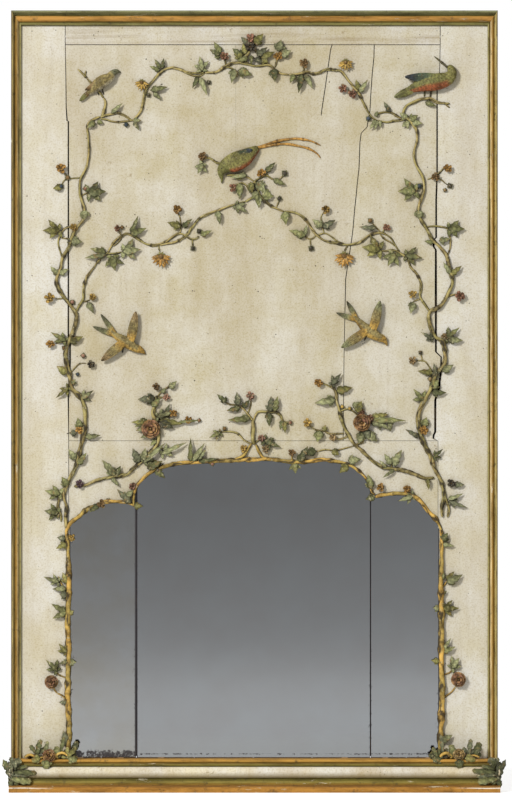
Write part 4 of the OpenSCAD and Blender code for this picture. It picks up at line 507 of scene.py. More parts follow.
def new_object(name: str, points: np.ndarray, faces: Sequence[Sequence[int]],
               material: bpy.types.Material) -> bpy.types.Object:
    """Makes a mesh with its finish and puts it in the scene.

    Args:
        name: Name of the object.
        points: Its points in metres.
        faces: The points of each face, by number.
        material: Its finish.

    Returns:
        The object.
    """
    mesh = bpy.data.meshes.new(name)
    mesh.from_pydata(np.asarray(points, float).tolist(), [], list(faces))
    mesh.materials.append(material)
    made = bpy.data.objects.new(name, mesh)
    bpy.context.scene.collection.objects.link(made)
    return made


class Carver:
    """Cuts one carved piece: adds its stems, leaves, flowers and masses, then makes the mesh.

    Shapes are grids of (x, z, out) in millimetres on the current plane. Rows follow the shape and
    columns go round it, from its left side over the front. Paint has a share of shade in its alpha.
    A vine's stem of the width TALL is slender at its top. A flower from the radius LARGE_BLOOM is a
    daisy, and a leaf from the width BROAD_LEAF has three lobes.
    """

    TALL = 20
    LARGE_BLOOM = 20
    BROAD_LEAF = 28
    WARM_TIP = "#8A6A38"
    GREENS = (Tint.LEAF, Tint.LEAF, Tint.SAGE, Tint.SAGE, Tint.DEEP, Tint.OLIVE, Tint.SLATE)

    def __init__(self, name: str, plane: Plane, seed: int) -> None:
        """Starts an empty piece.

        Args:
            name: CAD node that it stands for.
            plane: Where it is carved.
            seed: Seed of its random draws.
        """
        self.name = name
        self.plane = plane
        self.rng = np.random.default_rng(seed)
        self.points: list[np.ndarray] = []
        self.paints: list[np.ndarray] = []
        self.quads: list[np.ndarray] = []
        self.tris: list[np.ndarray] = []
        self.count = 0

    def colour(self, tint: Tint, spread: float = 0.1) -> np.ndarray:
        """Gives a tint in linear light, lighter or darker by chance within the spread."""
        return np.array(linear(tint.value)[:3]) * self.rng.uniform(1 - spread, 1 + spread)

    def tube(self, grid: np.ndarray, paint: np.ndarray, shade: np.ndarray) -> None:
        """Adds a closed tube whose ends close on the middle of their rings.

        Args:
            grid: Rings of points, rows by around by (x, z, out).
            paint: Linear colour of each point.
            shade: Share of painted shade at each point.
        """
        rows, around, _ = grid.shape
        p = self.plane
        axes = np.array([p.along, p.up, p.out])
        ends = grid[[0, -1]].mean(1)
        flat = np.concatenate([grid.reshape(-1, 3), ends])
        self.points.append(np.array(p.origin) + flat * MM @ axes)
        full = np.concatenate([np.broadcast_to(paint, (rows, around, 3)),
                               np.broadcast_to(shade, (rows, around))[..., None]], -1)
        self.paints.append(np.concatenate([full.reshape(-1, 4), full[0, :1], full[-1, :1]]))
        i = np.arange(rows - 1)[:, None] * around
        j = np.arange(around)[None, :]
        k = (j + 1) % around
        base = self.count
        self.quads.append((base + np.stack([i + j, i + k, i + around + k, i + around + j], -1))
                          .reshape(-1, 4))
        tail = base + rows * around
        j, k = j[0], k[0]
        last = base + (rows - 1) * around
        self.tris.append(np.stack([np.full(around, tail), base + k, base + j], -1))
        self.tris.append(np.stack([np.full(around, tail + 1), last + j, last + k], -1))
        self.count += rows * around + 2

    def stem(self, width: float, points: Sequence[float], tint: Tint = Tint.BARK, lift: float = 0.0,
             ends: tuple[float, float] = (0.8, 0.55), slim: float = 1.0,
             twisted: float = 1.0) -> None:
        """Adds a stem of two twisted strands, with knots and rounded ends.

        The radius is half the width, times a slow swell, times small knots along it, times
        1 + 0.1 cos(2 angle + distance / (1.3 width) + slow wandering).

        Args:
            width: Width in millimetres.
            points: Route, x and z.
            tint: Its paint.
            lift: Height of its underside over the plane.
            ends: Thickness at its two ends as a share of the middle.
            slim: Thickness at its start as a share of that at its end, for a tall vine.
            twisted: Share of the twist, 0 for a plain feather.
        """
        path = smooth_run(np.asarray(points, float).reshape(-1, 2), max(3.0, width * 0.35))
        s, side = along_and_side(path)
        total = s[-1]
        turn = np.linspace(0, 2 * np.pi, 12, endpoint=False)
        knots = self.rng.uniform(0, total, max(1, int(total / 45)))
        knot = np.exp(-(((s[:, None] - knots) / (width * 0.45)) ** 2)).sum(1)
        swell = 1 + 0.09 * np.sin(s / 11 + self.rng.uniform(0, 6)) + 0.36 * np.clip(knot, 0, 1)
        share = s / total
        taper = np.interp(share, [0, 0.12, 0.75, 1], [ends[0], 1, 0.95, ends[1]])
        close = np.sqrt(np.clip(np.minimum(s, total - s) / (0.4 * width), 0.04, 1))
        wander = 1.6 * np.sin(s / 23 + 1) + 1.1 * np.sin(s / 9)
        twist = twisted * np.cos(2 * turn + (s / (1.3 * width) + wander)[:, None])
        slender = slim + (1 - slim) * share
        radius = (width / 2 * swell * taper * close * slender)[:, None] * (1 + 0.1 * twist)
        grid = swept(path, side, radius, turn, lift + 0.3 * width + radius * np.sin(turn))
        base = self.colour(tint)
        green = self.colour(Tint.OLIVE)
        tone = 0.5 + 0.5 * np.sin(s / 31 + self.rng.uniform(0, 6))[:, None] + 0 * turn
        paint = mix(base, green, 0.5 * twisted * tone)
        # Painted light and shade: lighter where the stem faces out and on its strands; painted shade on its
        # sides and underside, round the knots and in the twist's grooves.
        paint = paint * (1.04 + 0.2 * np.sin(turn) + 0.22 * twist)[..., None]
        shade = (np.clip(0.45 - np.sin(turn), 0, 1)[None, :] + 0.35 * np.clip(knot, 0, 1)[:, None]
                 + 0.5 * smoothstep(-0.4, -1.0, twist))
        self.tube(grid, paint, np.clip(shade, 0, 1))

    def blade(self, base: Sequence[float], angle: float, length: float, width: float,
              lift: float, tint: Union[Tint, np.ndarray], rise: float = 0.0, round_tip: bool = False,
              notch: float = 0.17, thick: float = 3.2, hollow: float = 0.14) -> None:
        """Adds one leaf blade, petal or feather: a closed lens bent along and across.

        Half width at share u is u^a (1-u)^b scaled to 1 at its widest, with soft notches. The
        height is the lift, plus an arch sin(pi u), plus rise u, plus a hollow that grows with the
        square of the distance from the midrib, less a narrow groove on the midrib.

        Args:
            base: x and z of its foot.
            angle: Its way in radians, from x towards z.
            length: Length.
            width: Greatest width.
            lift: Height of its foot.
            tint: Paint, or a linear colour.
            rise: How far its tip climbs.
            round_tip: True for a petal.
            notch: Depth of the notches as a share of the width.
            thick: Thickness in the middle.
            hollow: How far the edges stand up, as a share of the width.
        """
        u = np.linspace(0, 1, 13)[:, None]
        turn = np.linspace(0, 2 * np.pi, 14, endpoint=False)[None, :]
        a, b = (0.75, 0.32) if round_tip else (0.62, 1.0)
        top = a / (a + b)
        outline = np.clip(u, 1e-4, 1) ** a * np.clip(1 - u, 1e-4, 1) ** b
        outline = np.maximum(outline / (top**a * (1 - top) ** b), 0.045)
        teeth = 1 + notch * np.cos(2 * np.pi * (3.0 * u + 0.12)) * np.minimum(1, outline * 1.5)
        half = width / 2 * outline * teeth
        v = np.cos(turn)
        tilt = self.rng.uniform(-0.16, 0.16)
        lean = self.rng.uniform(-0.08, 0.08) * length * u**2
        height = (lift + 0.09 * length * np.sin(np.pi * u) + rise * u
                  + hollow * width * v**2 * outline + tilt * v * half
                  - 0.9 * np.exp(-((v / 0.22) ** 2)) * outline
                  + 0.55 * np.cos(2 * np.pi * (3.5 * u - 1.5 * np.abs(v))) * outline)
        out = height + thick / 2 * np.sin(turn) * np.sqrt(outline)
        grid = laid(base, angle, length * u + 0 * turn, half * v + lean, out)
        body = self.colour(tint) if isinstance(tint, Tint) else tint
        # Painted light and shade: a highlight on the midrib and a lit rim on the upper edges; painted shade
        # towards the edges, in the vein grooves, underneath and at the foot.
        light = 1 + 0.6 * np.exp(-((v / 0.18) ** 2)) - 0.5 * smoothstep(0.5, 0.85, np.abs(v))
        light = light + 0.7 * smoothstep(0.88, 1.0, np.abs(v)) * (np.sin(turn) > -0.2)
        vein_groove_shade = 1 + 0.36 * np.cos(2 * np.pi * (3.5 * u - 1.5 * np.abs(v)))
        paint = body * (light * vein_groove_shade * (0.9 + 0.2 * u))[..., None]
        warm = np.array(linear(self.WARM_TIP)[:3])
        paint = mix(paint, warm, 0.3 * smoothstep(0.8, 1.0, u + 0 * v))
        shade = np.clip(0.9 * smoothstep(0.15, -0.3, np.sin(turn)) + 0.5 * (1 - smoothstep(0, 0.2, u)),
                        0, 1)
        self.tube(grid, paint, shade)

    def leaf(self, row: Sequence[float], tint: Optional[Tint] = None, lift: float = 4.0,
             round_tip: bool = False) -> None:
        """Adds a leaf of one or three lobes.

        Args:
            row: Base x and z, tip x and z, width, and 3 where it has three lobes.
            tint: Its paint, by chance among the greens when None.
            lift: Height of its foot.
            round_tip: True where its lobes are rounded.
        """
        x0, z0, x1, z1, width, *lobes = row
        length, angle = math.hypot(x1 - x0, z1 - z0), math.atan2(z1 - z0, x1 - x0)
        body = self.colour(tint or self.GREENS[self.rng.integers(len(self.GREENS))], 0.14)
        lift += self.rng.uniform(0, 2)
        full = bool(lobes) or width >= self.BROAD_LEAF
        broad = min(width, 0.95 * length)
        arms = (((1.9, 0.54, 0.3, 0.1), (0.86, 0.84, 0.38, 0.2)) if full else ((0.8, 0.9, 0.62, 0.14),))
        for swing, reach, wide, at in arms:
            foot = (x0 + at * (x1 - x0), z0 + at * (z1 - z0))
            for turn in (-1, 1):
                self.blade(foot, angle + turn * swing * self.rng.uniform(0.88, 1.12),
                           reach * broad * self.rng.uniform(0.85, 1.15), wide * broad,
                           lift + self.rng.uniform(0, 2), body * self.rng.uniform(0.85, 1.15),
                           round_tip=round_tip)
        self.blade((x0, z0), angle, 1.08 * length, (0.46 if full else 0.92) * width, lift + 3,
                   body, round_tip=round_tip)

    def bead(self, x: float, z: float, radius: float, low: float, high: float, tint: Tint) -> None:
        """Adds a dome: rings of radius r cos(t) at the height sin(t) between low and high.

        Args:
            x, z: Its middle.
            radius: Its radius.
            low, high: How far its foot and its top stand out.
            tint: Its paint.
        """
        t = np.linspace(-0.5, 1.45, 8)[:, None]
        turn = np.linspace(0, 2 * np.pi, 12, endpoint=False)[None, :]
        ring = radius * np.cos(t)
        grid = np.stack([x + ring * np.cos(turn), z + ring * np.sin(turn),
                         low + (high - low) * np.sin(t) + 0 * turn], -1)
        # Painted shade round the dome's foot.
        self.tube(grid, self.colour(tint), 0.8 * smoothstep(0.8, 0.0, t) + 0 * turn)

    def bud(self, x: float, z: float, radius: float, tint: Tint, lift: float = 0.0) -> None:
        """Adds a closed bud in a cup of small sepals.

        Args:
            x, z: Its middle.
            radius: Its reach.
            tint: Its paint.
            lift: How far its foot stands out.
        """
        self.bead(x, z, radius * 0.72, lift + 2, lift + 6 + radius * 0.7, tint)
        start = self.rng.uniform(0, 6)
        for k in range(4):
            angle = start + k * math.pi / 2
            self.blade((x, z), angle, radius * 1.05, radius * 0.8, lift + 3 + 0.3 * radius, Tint.DEEP,
                       rise=-2)

    def bloom(self, x: float, z: float, radius: float, tint: Tint, lift: float = 0.0) -> None:
        """Adds an open flower: two whorls of uneven cupped petals round a boss.

        Args:
            x, z: Its middle.
            radius: Its reach.
            tint: Its paint.
            lift: How far its foot stands out.
        """
        body = self.colour(tint)
        for reach, foot, rise in ((1.0, 4, 0.3), (0.62, 7, 0.5)):
            start = self.rng.uniform(0, 6)
            for k in range(5):
                self.blade((x, z), start + k * 1.257 + self.rng.uniform(-0.2, 0.2),
                           radius * reach * self.rng.uniform(0.8, 1.15), radius * reach * 0.78,
                           lift + foot + 0.12 * radius, body * self.rng.uniform(0.72, 1.15),
                           rise=rise * radius, round_tip=True, notch=0.1, hollow=0.24)
        self.bead(x, z, radius * 0.26, lift + 5, lift + 9 + 0.4 * radius, Tint.BROWN)

    def daisy(self, x: float, z: float, radius: float, tint: Tint, lift: float = 0.0) -> None:
        """Adds a hanging daisy: a boss above and long petals that fan out below it.

        Args:
            x, z: Its middle.
            radius: Its reach.
            tint: Its paint.
            lift: How far its foot stands out.
        """
        body = self.colour(tint)
        for k in range(10):
            angle = -math.pi * (0.02 + 0.96 * k / 9)
            self.blade((x, z + 0.3 * radius), angle + self.rng.uniform(-0.08, 0.08),
                       radius * (1.1 + 0.25 * math.sin(-angle)) * self.rng.uniform(0.9, 1.1),
                       radius * 0.42, lift + 6 + 2 * (k % 2), body * self.rng.uniform(0.75, 1.15),
                       rise=3, notch=0.05)
        for k in range(4):
            self.blade((x, z + 0.3 * radius), 0.5 + 0.7 * k, radius * 0.6, radius * 0.4,
                       lift + 8, Tint.OLIVE)
        self.bead(x, z + 0.3 * radius, radius * 0.34, lift + 5, lift + 18, Tint.BROWN)

    def rose(self, x: float, z: float, radius: float, tint: Tint, lift: float = 0.0) -> None:
        """Adds a full rose: three whorls of petals that stand higher and steeper inwards.

        Args:
            x, z: Its middle.
            radius: Its reach.
            tint: Its paint.
            lift: How far its foot stands out.
        """
        for count, reach, foot, rise in ((6, 1.0, 5, 0.2), (5, 0.72, 9, 0.4), (4, 0.46, 12, 0.5)):
            start = self.rng.uniform(0, 6)
            for k in range(count):
                body = mix(self.colour(tint, 0.2), self.colour(Tint.OCHRE), self.rng.uniform(0, 0.5, 1))[0]
                self.blade((x, z), start + k * 2 * math.pi / count, radius * reach,
                           radius * reach * 1.1, lift + foot + 0.12 * radius, body,
                           rise=rise * radius, round_tip=True, notch=0.04, hollow=0.26)
        self.bead(x, z, radius * 0.2, lift + 9, lift + 14 + 0.6 * radius, Tint.BROWN)

    def grow(self, growth: Growth) -> None:
        """Adds every stem, leaf and flower of a group; a tall vine is slender at its top.

        Args:
            growth: Routes of the group.
        """
        own = Tint.OCHRE if self.name.endswith("border") else Tint.BARK
        for width, *route in growth.stems:
            tall = self.name.endswith("vine") and width == self.TALL
            self.stem((0.82 if tall else 0.9) * width, route, own, slim=0.5 if tall else 1.0)
        for row in growth.leaves:
            self.leaf(row)
        for x, z, radius, letter in growth.blooms:
            make = self.daisy if radius >= self.LARGE_BLOOM else self.bloom
            make(x, z, radius, LETTERS[letter])
        for rows, make in ((growth.buds, self.bud), (growth.roses, self.rose)):
            for x, z, radius, letter in rows:
                make(x, z, radius, LETTERS[letter])
        for width, *route in growth.joins:
            self.stem(width, route)
        for row in growth.infill:
            self.leaf(row)
        for width, *route in growth.arches:
            self.stem(width, route, Tint.OCHRE)

    def body(self, rows: Sequence[Sequence[float]], back: Tint, belly: Tint, head: Tint,
             head_share: float = 0.82, feather: float = 0.7, belly_top: float = 0.0) -> None:
        """Adds a bird's body as one rounded form through its masses.

        Its half width and height run smoothly through the rows; small scallops of feather depth
        follow cos(distance / 1.9 + 3 |sin 4 angle|).

        Args:
            rows: Masses, x, z, radius and height, from tail to head.
            back: Paint of the upper side.
            belly: Paint of the lower side.
            head: Paint of the head.
            head_share: Share of the length where the head begins.
            feather: Depth of the scallops.
            belly_top: How high the belly's paint reaches, from -1 to 1.
        """
        data = smooth_run(np.array(rows, float), 1.6)
        s, side = along_and_side(data[:, :2])
        share = s / s[-1]
        turn = np.linspace(0, 2 * np.pi, 36, endpoint=False)
        close = np.sqrt(np.clip(np.minimum(share, 1 - share) / 0.03, 0.05, 1))[:, None]
        scale = feather * np.cos(s[:, None] / 1.9 + 3 * np.abs(np.sin(4 * turn)))
        across = np.maximum(data[:, 2:3], 1.2) * close + 0.3 * scale
        height = np.maximum(data[:, 3:4], 4) * close
        grid = swept(data, side, across, turn,
                     height * (0.42 + 0.5 * np.sin(turn)) + 0.5 * scale * (np.sin(turn) > 0))
        up = side[:, 1:] * np.cos(turn) + 0.25 * np.sin(turn)
        paint = mix(self.colour(belly, 0), self.colour(back, 0),
                    smoothstep(belly_top - 0.3, belly_top + 0.2, up))
        paint = mix(paint, self.colour(head, 0), smoothstep(head_share - 0.05, head_share + 0.03,
                                                            share)[:, None] + 0 * turn)
        # Painted light on the raised scallops and shade between them, and painted shade on the underside.
        paint = paint * (1 + 0.12 * scale / max(feather, 0.1))[..., None]
        self.tube(grid, paint, smoothstep(0.1, -0.5, np.sin(turn))[None, :] + 0 * share[:, None])

    def wing(self, foot: Sequence[float], tip: Sequence[float], width: float, lift: float,
             tints: Sequence[Tint], rise: float = -8.0, bend: float = 0.0) -> None:
        """Adds a whole wing or tail as one closed form with its feathers cut into it.

        Half width is u^0.4 (1-u)^0.5 scaled to 1, bent sideways by bend u^2. Beyond the middle,
        grooves run along it at every fifth of its width and its end is cut into points; nearer
        the foot, scales stand at cos(14 u length / 60) cos(9 v).

        Args:
            foot: x and z of its root.
            tip: x and z of its tip.
            width: Greatest width.
            lift: Height of its root.
            tints: Paint at the root, in the middle and at the tip.
            rise: How far the tip climbs; below 0 it sinks.
            bend: How far the tip leans to the left, as a share of the length.
        """
        length, angle = math.dist(foot, tip), math.atan2(tip[1] - foot[1], tip[0] - foot[0])
        u = np.linspace(0, 1, 30)[:, None]
        turn = np.linspace(0, 2 * np.pi, 36, endpoint=False)[None, :]
        v = np.cos(turn)
        shape = np.clip(u, 1e-3, 1) ** 0.4 * np.clip(1 - u, 1e-3, 1) ** 0.5
        half = width / 2 * np.maximum(shape / shape.max(), 0.06)
        outer = smoothstep(0.35, 0.6, u)
        lines = np.abs(np.sin(np.pi * 2.5 * (v + 1)))
        scales = np.cos(14 * u * length / 60) * np.cos(9 * v)
        relief = outer * (lines - 0.6) * 1.6 + (1 - outer) * 0.7 * scales
        x = length * u * (1 - 0.1 * outer * (1 - lines) * u)
        z = half * v + bend * length * u**2
        out = lift + rise * u + 0.06 * width * (1 - v**2) + 2.2 * np.sin(turn) + relief
        grid = laid(foot, angle, x, z, out)
        near, middle, far = (self.colour(tint, 0.04) for tint in tints)
        paint = mix(mix(near, middle, smoothstep(0.2, 0.5, u + 0 * v)), far,
                    smoothstep(0.6, 0.85, u + 0 * v))
        # Painted light on the raised feathers and scales, painted shade in their grooves and on the
        # underside.
        paint = paint * (0.72 + 0.45 * lines * outer + 0.35 * (1 - outer) * (0.7 + 0.6 * scales))[..., None]
        shade = smoothstep(0.1, -0.4, np.sin(turn)) + 0.35 * outer * (1 - lines)
        self.tube(grid, paint, np.clip(shade, 0, 1))

    def finish(self, material: bpy.types.Material, slot: str) -> bpy.types.Object:
        """Makes the mesh, puts it in place of its solid and gives it its paint.

        Args:
            material: Finish of the piece.
            slot: Name of a material slot; not used.

        Returns:
            The finished object.
        """
        faces = np.concatenate(self.quads).tolist() + np.concatenate(self.tris).tolist()
        piece = new_object(self.name + "_carved", np.concatenate(self.points), faces, material)
        mesh = piece.data
        paint = mesh.attributes.new("paint", "FLOAT_COLOR", "POINT")
        tones = np.clip(np.concatenate(self.paints), 0, 1).astype(np.float32)
        paint.data.foreach_set("color", tones.ravel())
        mesh.polygons.foreach_set("use_smooth", np.ones(len(mesh.polygons), bool))
        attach(piece, "root")
        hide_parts(self.name)
        log.info("%s: %d faces", piece.name, len(faces))
        return piece
Socket = Union[bpy.types.Node, bpy.types.NodeSocket, float, tuple, str]
Stop = tuple[float, Union[str, float]]


class Shader:
    """A procedural material, built node by node and closed with one Principled surface.

    Names that end in cells give a pattern's scale in cells to the metre, so 50 is 20 mm a cell.
    """

    WHITE = "#FFFFFF"

    def __init__(self, name: str, surround: bool = False) -> None:
        """Starts an empty node tree.

        Args:
            name: Name of the material.
            surround: True where it is the world's.
        """
        self.material = (bpy.data.worlds if surround else bpy.data.materials).new(name)
        self.material.use_nodes = True
        self.tree = self.material.node_tree
        self.tree.nodes.clear()
        self.coord = self.add("TexCoord").outputs
        self.place = self.coord["Object"]

    def add(self, kind: str, sockets: dict[Union[str, int], Socket] = {},
            stops: Sequence[Stop] = (), **settings: object) -> bpy.types.Node:
        """Adds a node, sets it and links it.

        Args:
            kind: Node type.
            sockets: For each named or numbered input a value, a hex colour or an output; a node
                stands for its first output in use. A node led by a Vector reads the place.
            stops: Places and hex colours, or grey values, of a colour ramp.
            **settings: Properties of the node.

        Returns:
            The node.
        """
        node = self.tree.nodes.new("ShaderNode" + kind)
        for key, value in settings.items():
            setattr(node, key, value)
        if node.inputs and node.inputs[0].name == "Vector":
            self.tree.links.new(self.place, node.inputs[0])
        for key, value in sockets.items():
            if isinstance(value, bpy.types.Node):
                value = next(output for output in value.outputs if output.enabled)
            if isinstance(value, bpy.types.NodeSocket):
                self.tree.links.new(value, node.inputs[key])
            else:
                node.inputs[key].default_value = linear(value) if isinstance(value, str) else value
        for k, (place, tone) in enumerate(stops):
            points = node.color_ramp.elements
            point = points[k] if k < 2 else points.new(place)
            point.position = place
            point.color = linear(tone) if isinstance(tone, str) else (tone, tone, tone, 1.0)
        return node

    def coat(self, under: Socket, over: Socket, where: Socket, low: Stop, high: Stop) -> bpy.types.Node:
        """Lays one colour over another in patches.

        Args:
            under: Colour so far.
            over: Colour of the coat.
            where: Value that says where the coat lies.
            low: A level of that value and the coat's share below it.
            high: A level of that value and the coat's share above it.

        Returns:
            The new colour.
        """
        share = self.add("ValToRGB", {"Fac": where}, (low, high))
        return self.add("Mix", {0: share, 6: under, 7: over}, data_type="RGBA")

    def mottle(self, under: Socket, where: Socket, low: Stop, level: float, share: float) -> bpy.types.Node:
        """Darkens a colour where a value is low.

        Args:
            under: Colour so far.
            where: Value that says where.
            low: A low value and the tone that multiplies the colour there.
            level: Value from which the colour stays.
            share: Share of the darkening.

        Returns:
            The new colour.
        """
        tone = self.add("ValToRGB", {"Fac": where}, (low, (level, self.WHITE)))
        return self.add("Mix", {0: share, 6: under, 7: tone}, data_type="RGBA", blend_type="MULTIPLY")

    def behind(self, front: Socket, tones: tuple[str, str]) -> bpy.types.Node:
        """Leaves the faces that look at the wall unpainted, where the normal's y is high.

        Args:
            front: Colour of all the other faces.
            tones: Two colours of the bare stuff, mixed by a noise drawn out along z.

        Returns:
            The colour of every face.
        """
        axes = self.add("SeparateXYZ", {0: self.coord["Normal"]})
        back = self.add("MapRange", {"Value": axes.outputs["Y"], "From Min": 0.4, "From Max": 0.6})
        long = self.add("Mapping", {"Scale": (1.0, 1.0, 0.07)})
        grain = self.add("TexNoise", {"Vector": long, "Scale": 95.0, "Detail": 6.0, "Roughness": 0.68})
        return self.add("Mix", {0: back, 6: front, 7: self.add(
            "ValToRGB", {"Fac": grain}, ((0.38, tones[0]), (0.66, tones[1])))}, data_type="RGBA")

    def close(self, relief: Optional[tuple[Socket, float, float]] = None,
              **sockets: Socket) -> bpy.types.Material:
        """Ends the tree with a Principled surface.

        Args:
            relief: Height, strength and depth in metres of its bumps.
            **sockets: Its inputs, underscores in the names standing for spaces.

        Returns:
            The material.
        """
        named = {key.replace("_", " "): value for key, value in sockets.items()}
        if relief:
            height, strength, depth = relief
            named["Normal"] = self.add("Bump", {"Height": height, "Strength": strength, "Distance": depth})
        self.add("OutputMaterial", {"Surface": self.add("BsdfPrincipled", named)})
        return self.material


# Old pine left bare: a lighter and a darker brown that read as grain lines.
PINE = ("#A98A5E", "#7C5E3A")


@dataclass(frozen=True)
class DistressedPaint:
    """Old casein paint on softwood boards: thin whitish veils over a yellower coat, water
    stains that ran down, brush streaks, rubs to the wood, specks, grime mixed with painted shade in
    every corner, painted shade along the joints and, where a foot is set, painted shade at the foot."""

    name: str = "distressed casein paint, brushed on softwood"
    paint: str = "#D6CBAE"
    veil: str = "#E2DDD0"
    stain: str = "#B49C70"
    bare: str = "#94805C"
    speck: str = "#3E3428"
    dirt_and_shade: str = "#6E6248"
    gap_shade: str = "#1E1912"
    grit: str = "#E6DFCE"
    foot_shade: str = "#7C6C3C"
    stain_size: float = 0.26
    veil_size: float = 0.16
    streak_width: float = 0.006
    speck_size: float = 0.012
    grime_and_shade_reach: float = 0.024
    rub_cells: float = 22.0
    grit_cells: float = 210.0
    wear: float = 0.64
    seam_width: float = 0.0022
    seam_foot: float = 1.15
    crack: tuple[float, float] = (1.98, 2.2)
    closed_joint: float = -0.06
    streaks: float = 0.14
    run: tuple[float, float, float] = (1.0, 1.0, 0.05)
    # Height below which painted shade darkens the paint, fading out 16 mm above; 0 for none.
    foot: float = 0.0

    def make(self) -> bpy.types.Material:
        """Builds the material, coat by coat from the paint up to the seams.

        Returns:
            The material.
        """
        s = Shader(self.name)
        cloud = s.add("TexNoise", {"Scale": 1 / self.veil_size, "Detail": 8.0, "Roughness": 0.68})
        colour = s.coat(self.paint, self.veil, cloud, (0.37, 0.0), (0.6, 1.0))
        fall = s.add("Mapping", {"Scale": (1.0, 1.0, 0.38), "Location": (0.4, 0.0, 0.7)})
        broad = s.add("TexNoise", {"Vector": fall, "Scale": 1 / self.stain_size, "Detail": 6.0,
                                   "Roughness": 0.64})
        colour = s.coat(colour, self.stain, broad, (0.43, 0.0), (0.7, 0.62))
        brushed = s.add("Mapping", {"Scale": self.run})
        streak = s.add("TexNoise", {"Vector": brushed, "Scale": 0.5 / self.streak_width,
                                    "Detail": 4.0, "Roughness": 0.6})
        colour = s.coat(colour, self.bare, streak, (0.5, 0.0), (0.8, self.streaks))
        sand = s.add("TexNoise", {"Scale": self.grit_cells, "Detail": 4.0})
        colour = s.mottle(colour, sand, (0.28, self.grit), 0.52, 0.95)
        rub = s.add("TexNoise", {"Scale": self.rub_cells, "Detail": 9.0, "Roughness": 0.72})
        colour = s.coat(colour, self.bare, rub, (self.wear, 0.0), (self.wear + 0.05, 0.6))
        dots = s.add("TexVoronoi", {"Scale": 1 / self.speck_size})
        few = s.add("TexNoise", {"Scale": 24.0, "Detail": 2.0})
        near = s.add("Math", {0: dots, 1: few}, operation="ADD")
        colour = s.coat(colour, self.speck, near, (0.45, 0.9), (0.51, 0.0))
        # Painted shade: ambient occlusion, mixed with the cloud as grime, darkens the corners and the board
        # round the carvings.
        hollow = s.add("AmbientOcclusion", {"Distance": self.grime_and_shade_reach}, samples=6).outputs["AO"]
        soot_and_shade = s.add("Math", {0: hollow, 1: cloud}, operation="ADD")
        colour = s.coat(colour, self.dirt_and_shade, soot_and_shade, (0.7, 0.85), (1.35, 0.0))
        # Painted shade: the deepest hollows go near-black.
        colour = s.coat(colour, self.gap_shade, hollow, (0.1, 1.0), (0.32, 0.0))
        axes = s.add("SeparateXYZ").outputs
        # Painted shade along the sharp edges of the joints, and the crack at the closed joint's top.
        colour = s.add("Mix", {0: self.seams(s, axes), 6: colour, 7: self.gap_shade}, data_type="RGBA")
        # Painted shade: darker towards the foot, under a rounded edge such as the frieze's.
        if self.foot:
            low = s.add("MapRange", {"Value": axes["Z"], "From Min": self.foot,
                                     "From Max": self.foot + 0.016, "To Min": 0.75, "To Max": 0.0})
            colour = s.add("Mix", {0: low, 6: colour, 7: self.foot_shade}, data_type="RGBA")
        height = s.add("Math", {0: streak, 1: rub}, operation="ADD")
        return s.close((height, 0.35, 0.0012), Base_Color=s.behind(colour, PINE), Roughness=0.72,
                       Specular_IOR_Level=0.15)

    def seams(self, s: Shader, axes: bpy.types.bpy_prop_collection) -> bpy.types.Node:
        """Finds the sharp edges along the joints, where the gaps' painted shade lies, darker above
        seam_foot.

        An edge is where the bevelled normal turns away from the flat one. Round the closed joint
        it fades, but for the crack at its top.

        Args:
            s: Shader of the finish.
            axes: X, y and z of the place.

        Returns:
            The share of the gaps' painted shade.
        """
        rounded = s.add("Bevel", {"Radius": self.seam_width}, samples=6)
        flat = s.add("NewGeometry").outputs["Normal"]
        turn = s.add("VectorMath", {0: rounded, 1: flat}, operation="DOT_PRODUCT")
        edge = s.add("ValToRGB", {"Fac": turn}, ((0.82, 1.0), (0.985, 0.0)))
        high = s.add("MapRange", {"Value": axes["Z"], "From Min": self.seam_foot,
                                  "From Max": self.seam_foot + 0.15, "To Min": 0.08,
                                  "To Max": 0.92})
        crack = s.add("MapRange", {"Value": axes["Z"], "From Min": self.crack[0],
                                   "From Max": self.crack[1], "To Min": 0.06, "To Max": 0.5})
        aside = s.add("Math", {0: axes["X"], 1: -self.closed_joint}, operation="ADD")
        aside = s.add("Math", {0: aside}, operation="ABSOLUTE")
        open_joint = s.add("MapRange", {"Value": aside, "From Min": 0.02, "From Max": 0.06,
                                        "To Min": crack})
        seam = s.add("Math", {0: edge, 1: high}, operation="MULTIPLY")
        return s.add("Math", {0: seam, 1: open_joint}, operation="MULTIPLY")


class Measure(Enum):
    """What a moulding's bands are counted along."""

    INWARDS = "from the outer edge inwards"
    DOWN = "from the top down"
    UP = "from the shelf up"


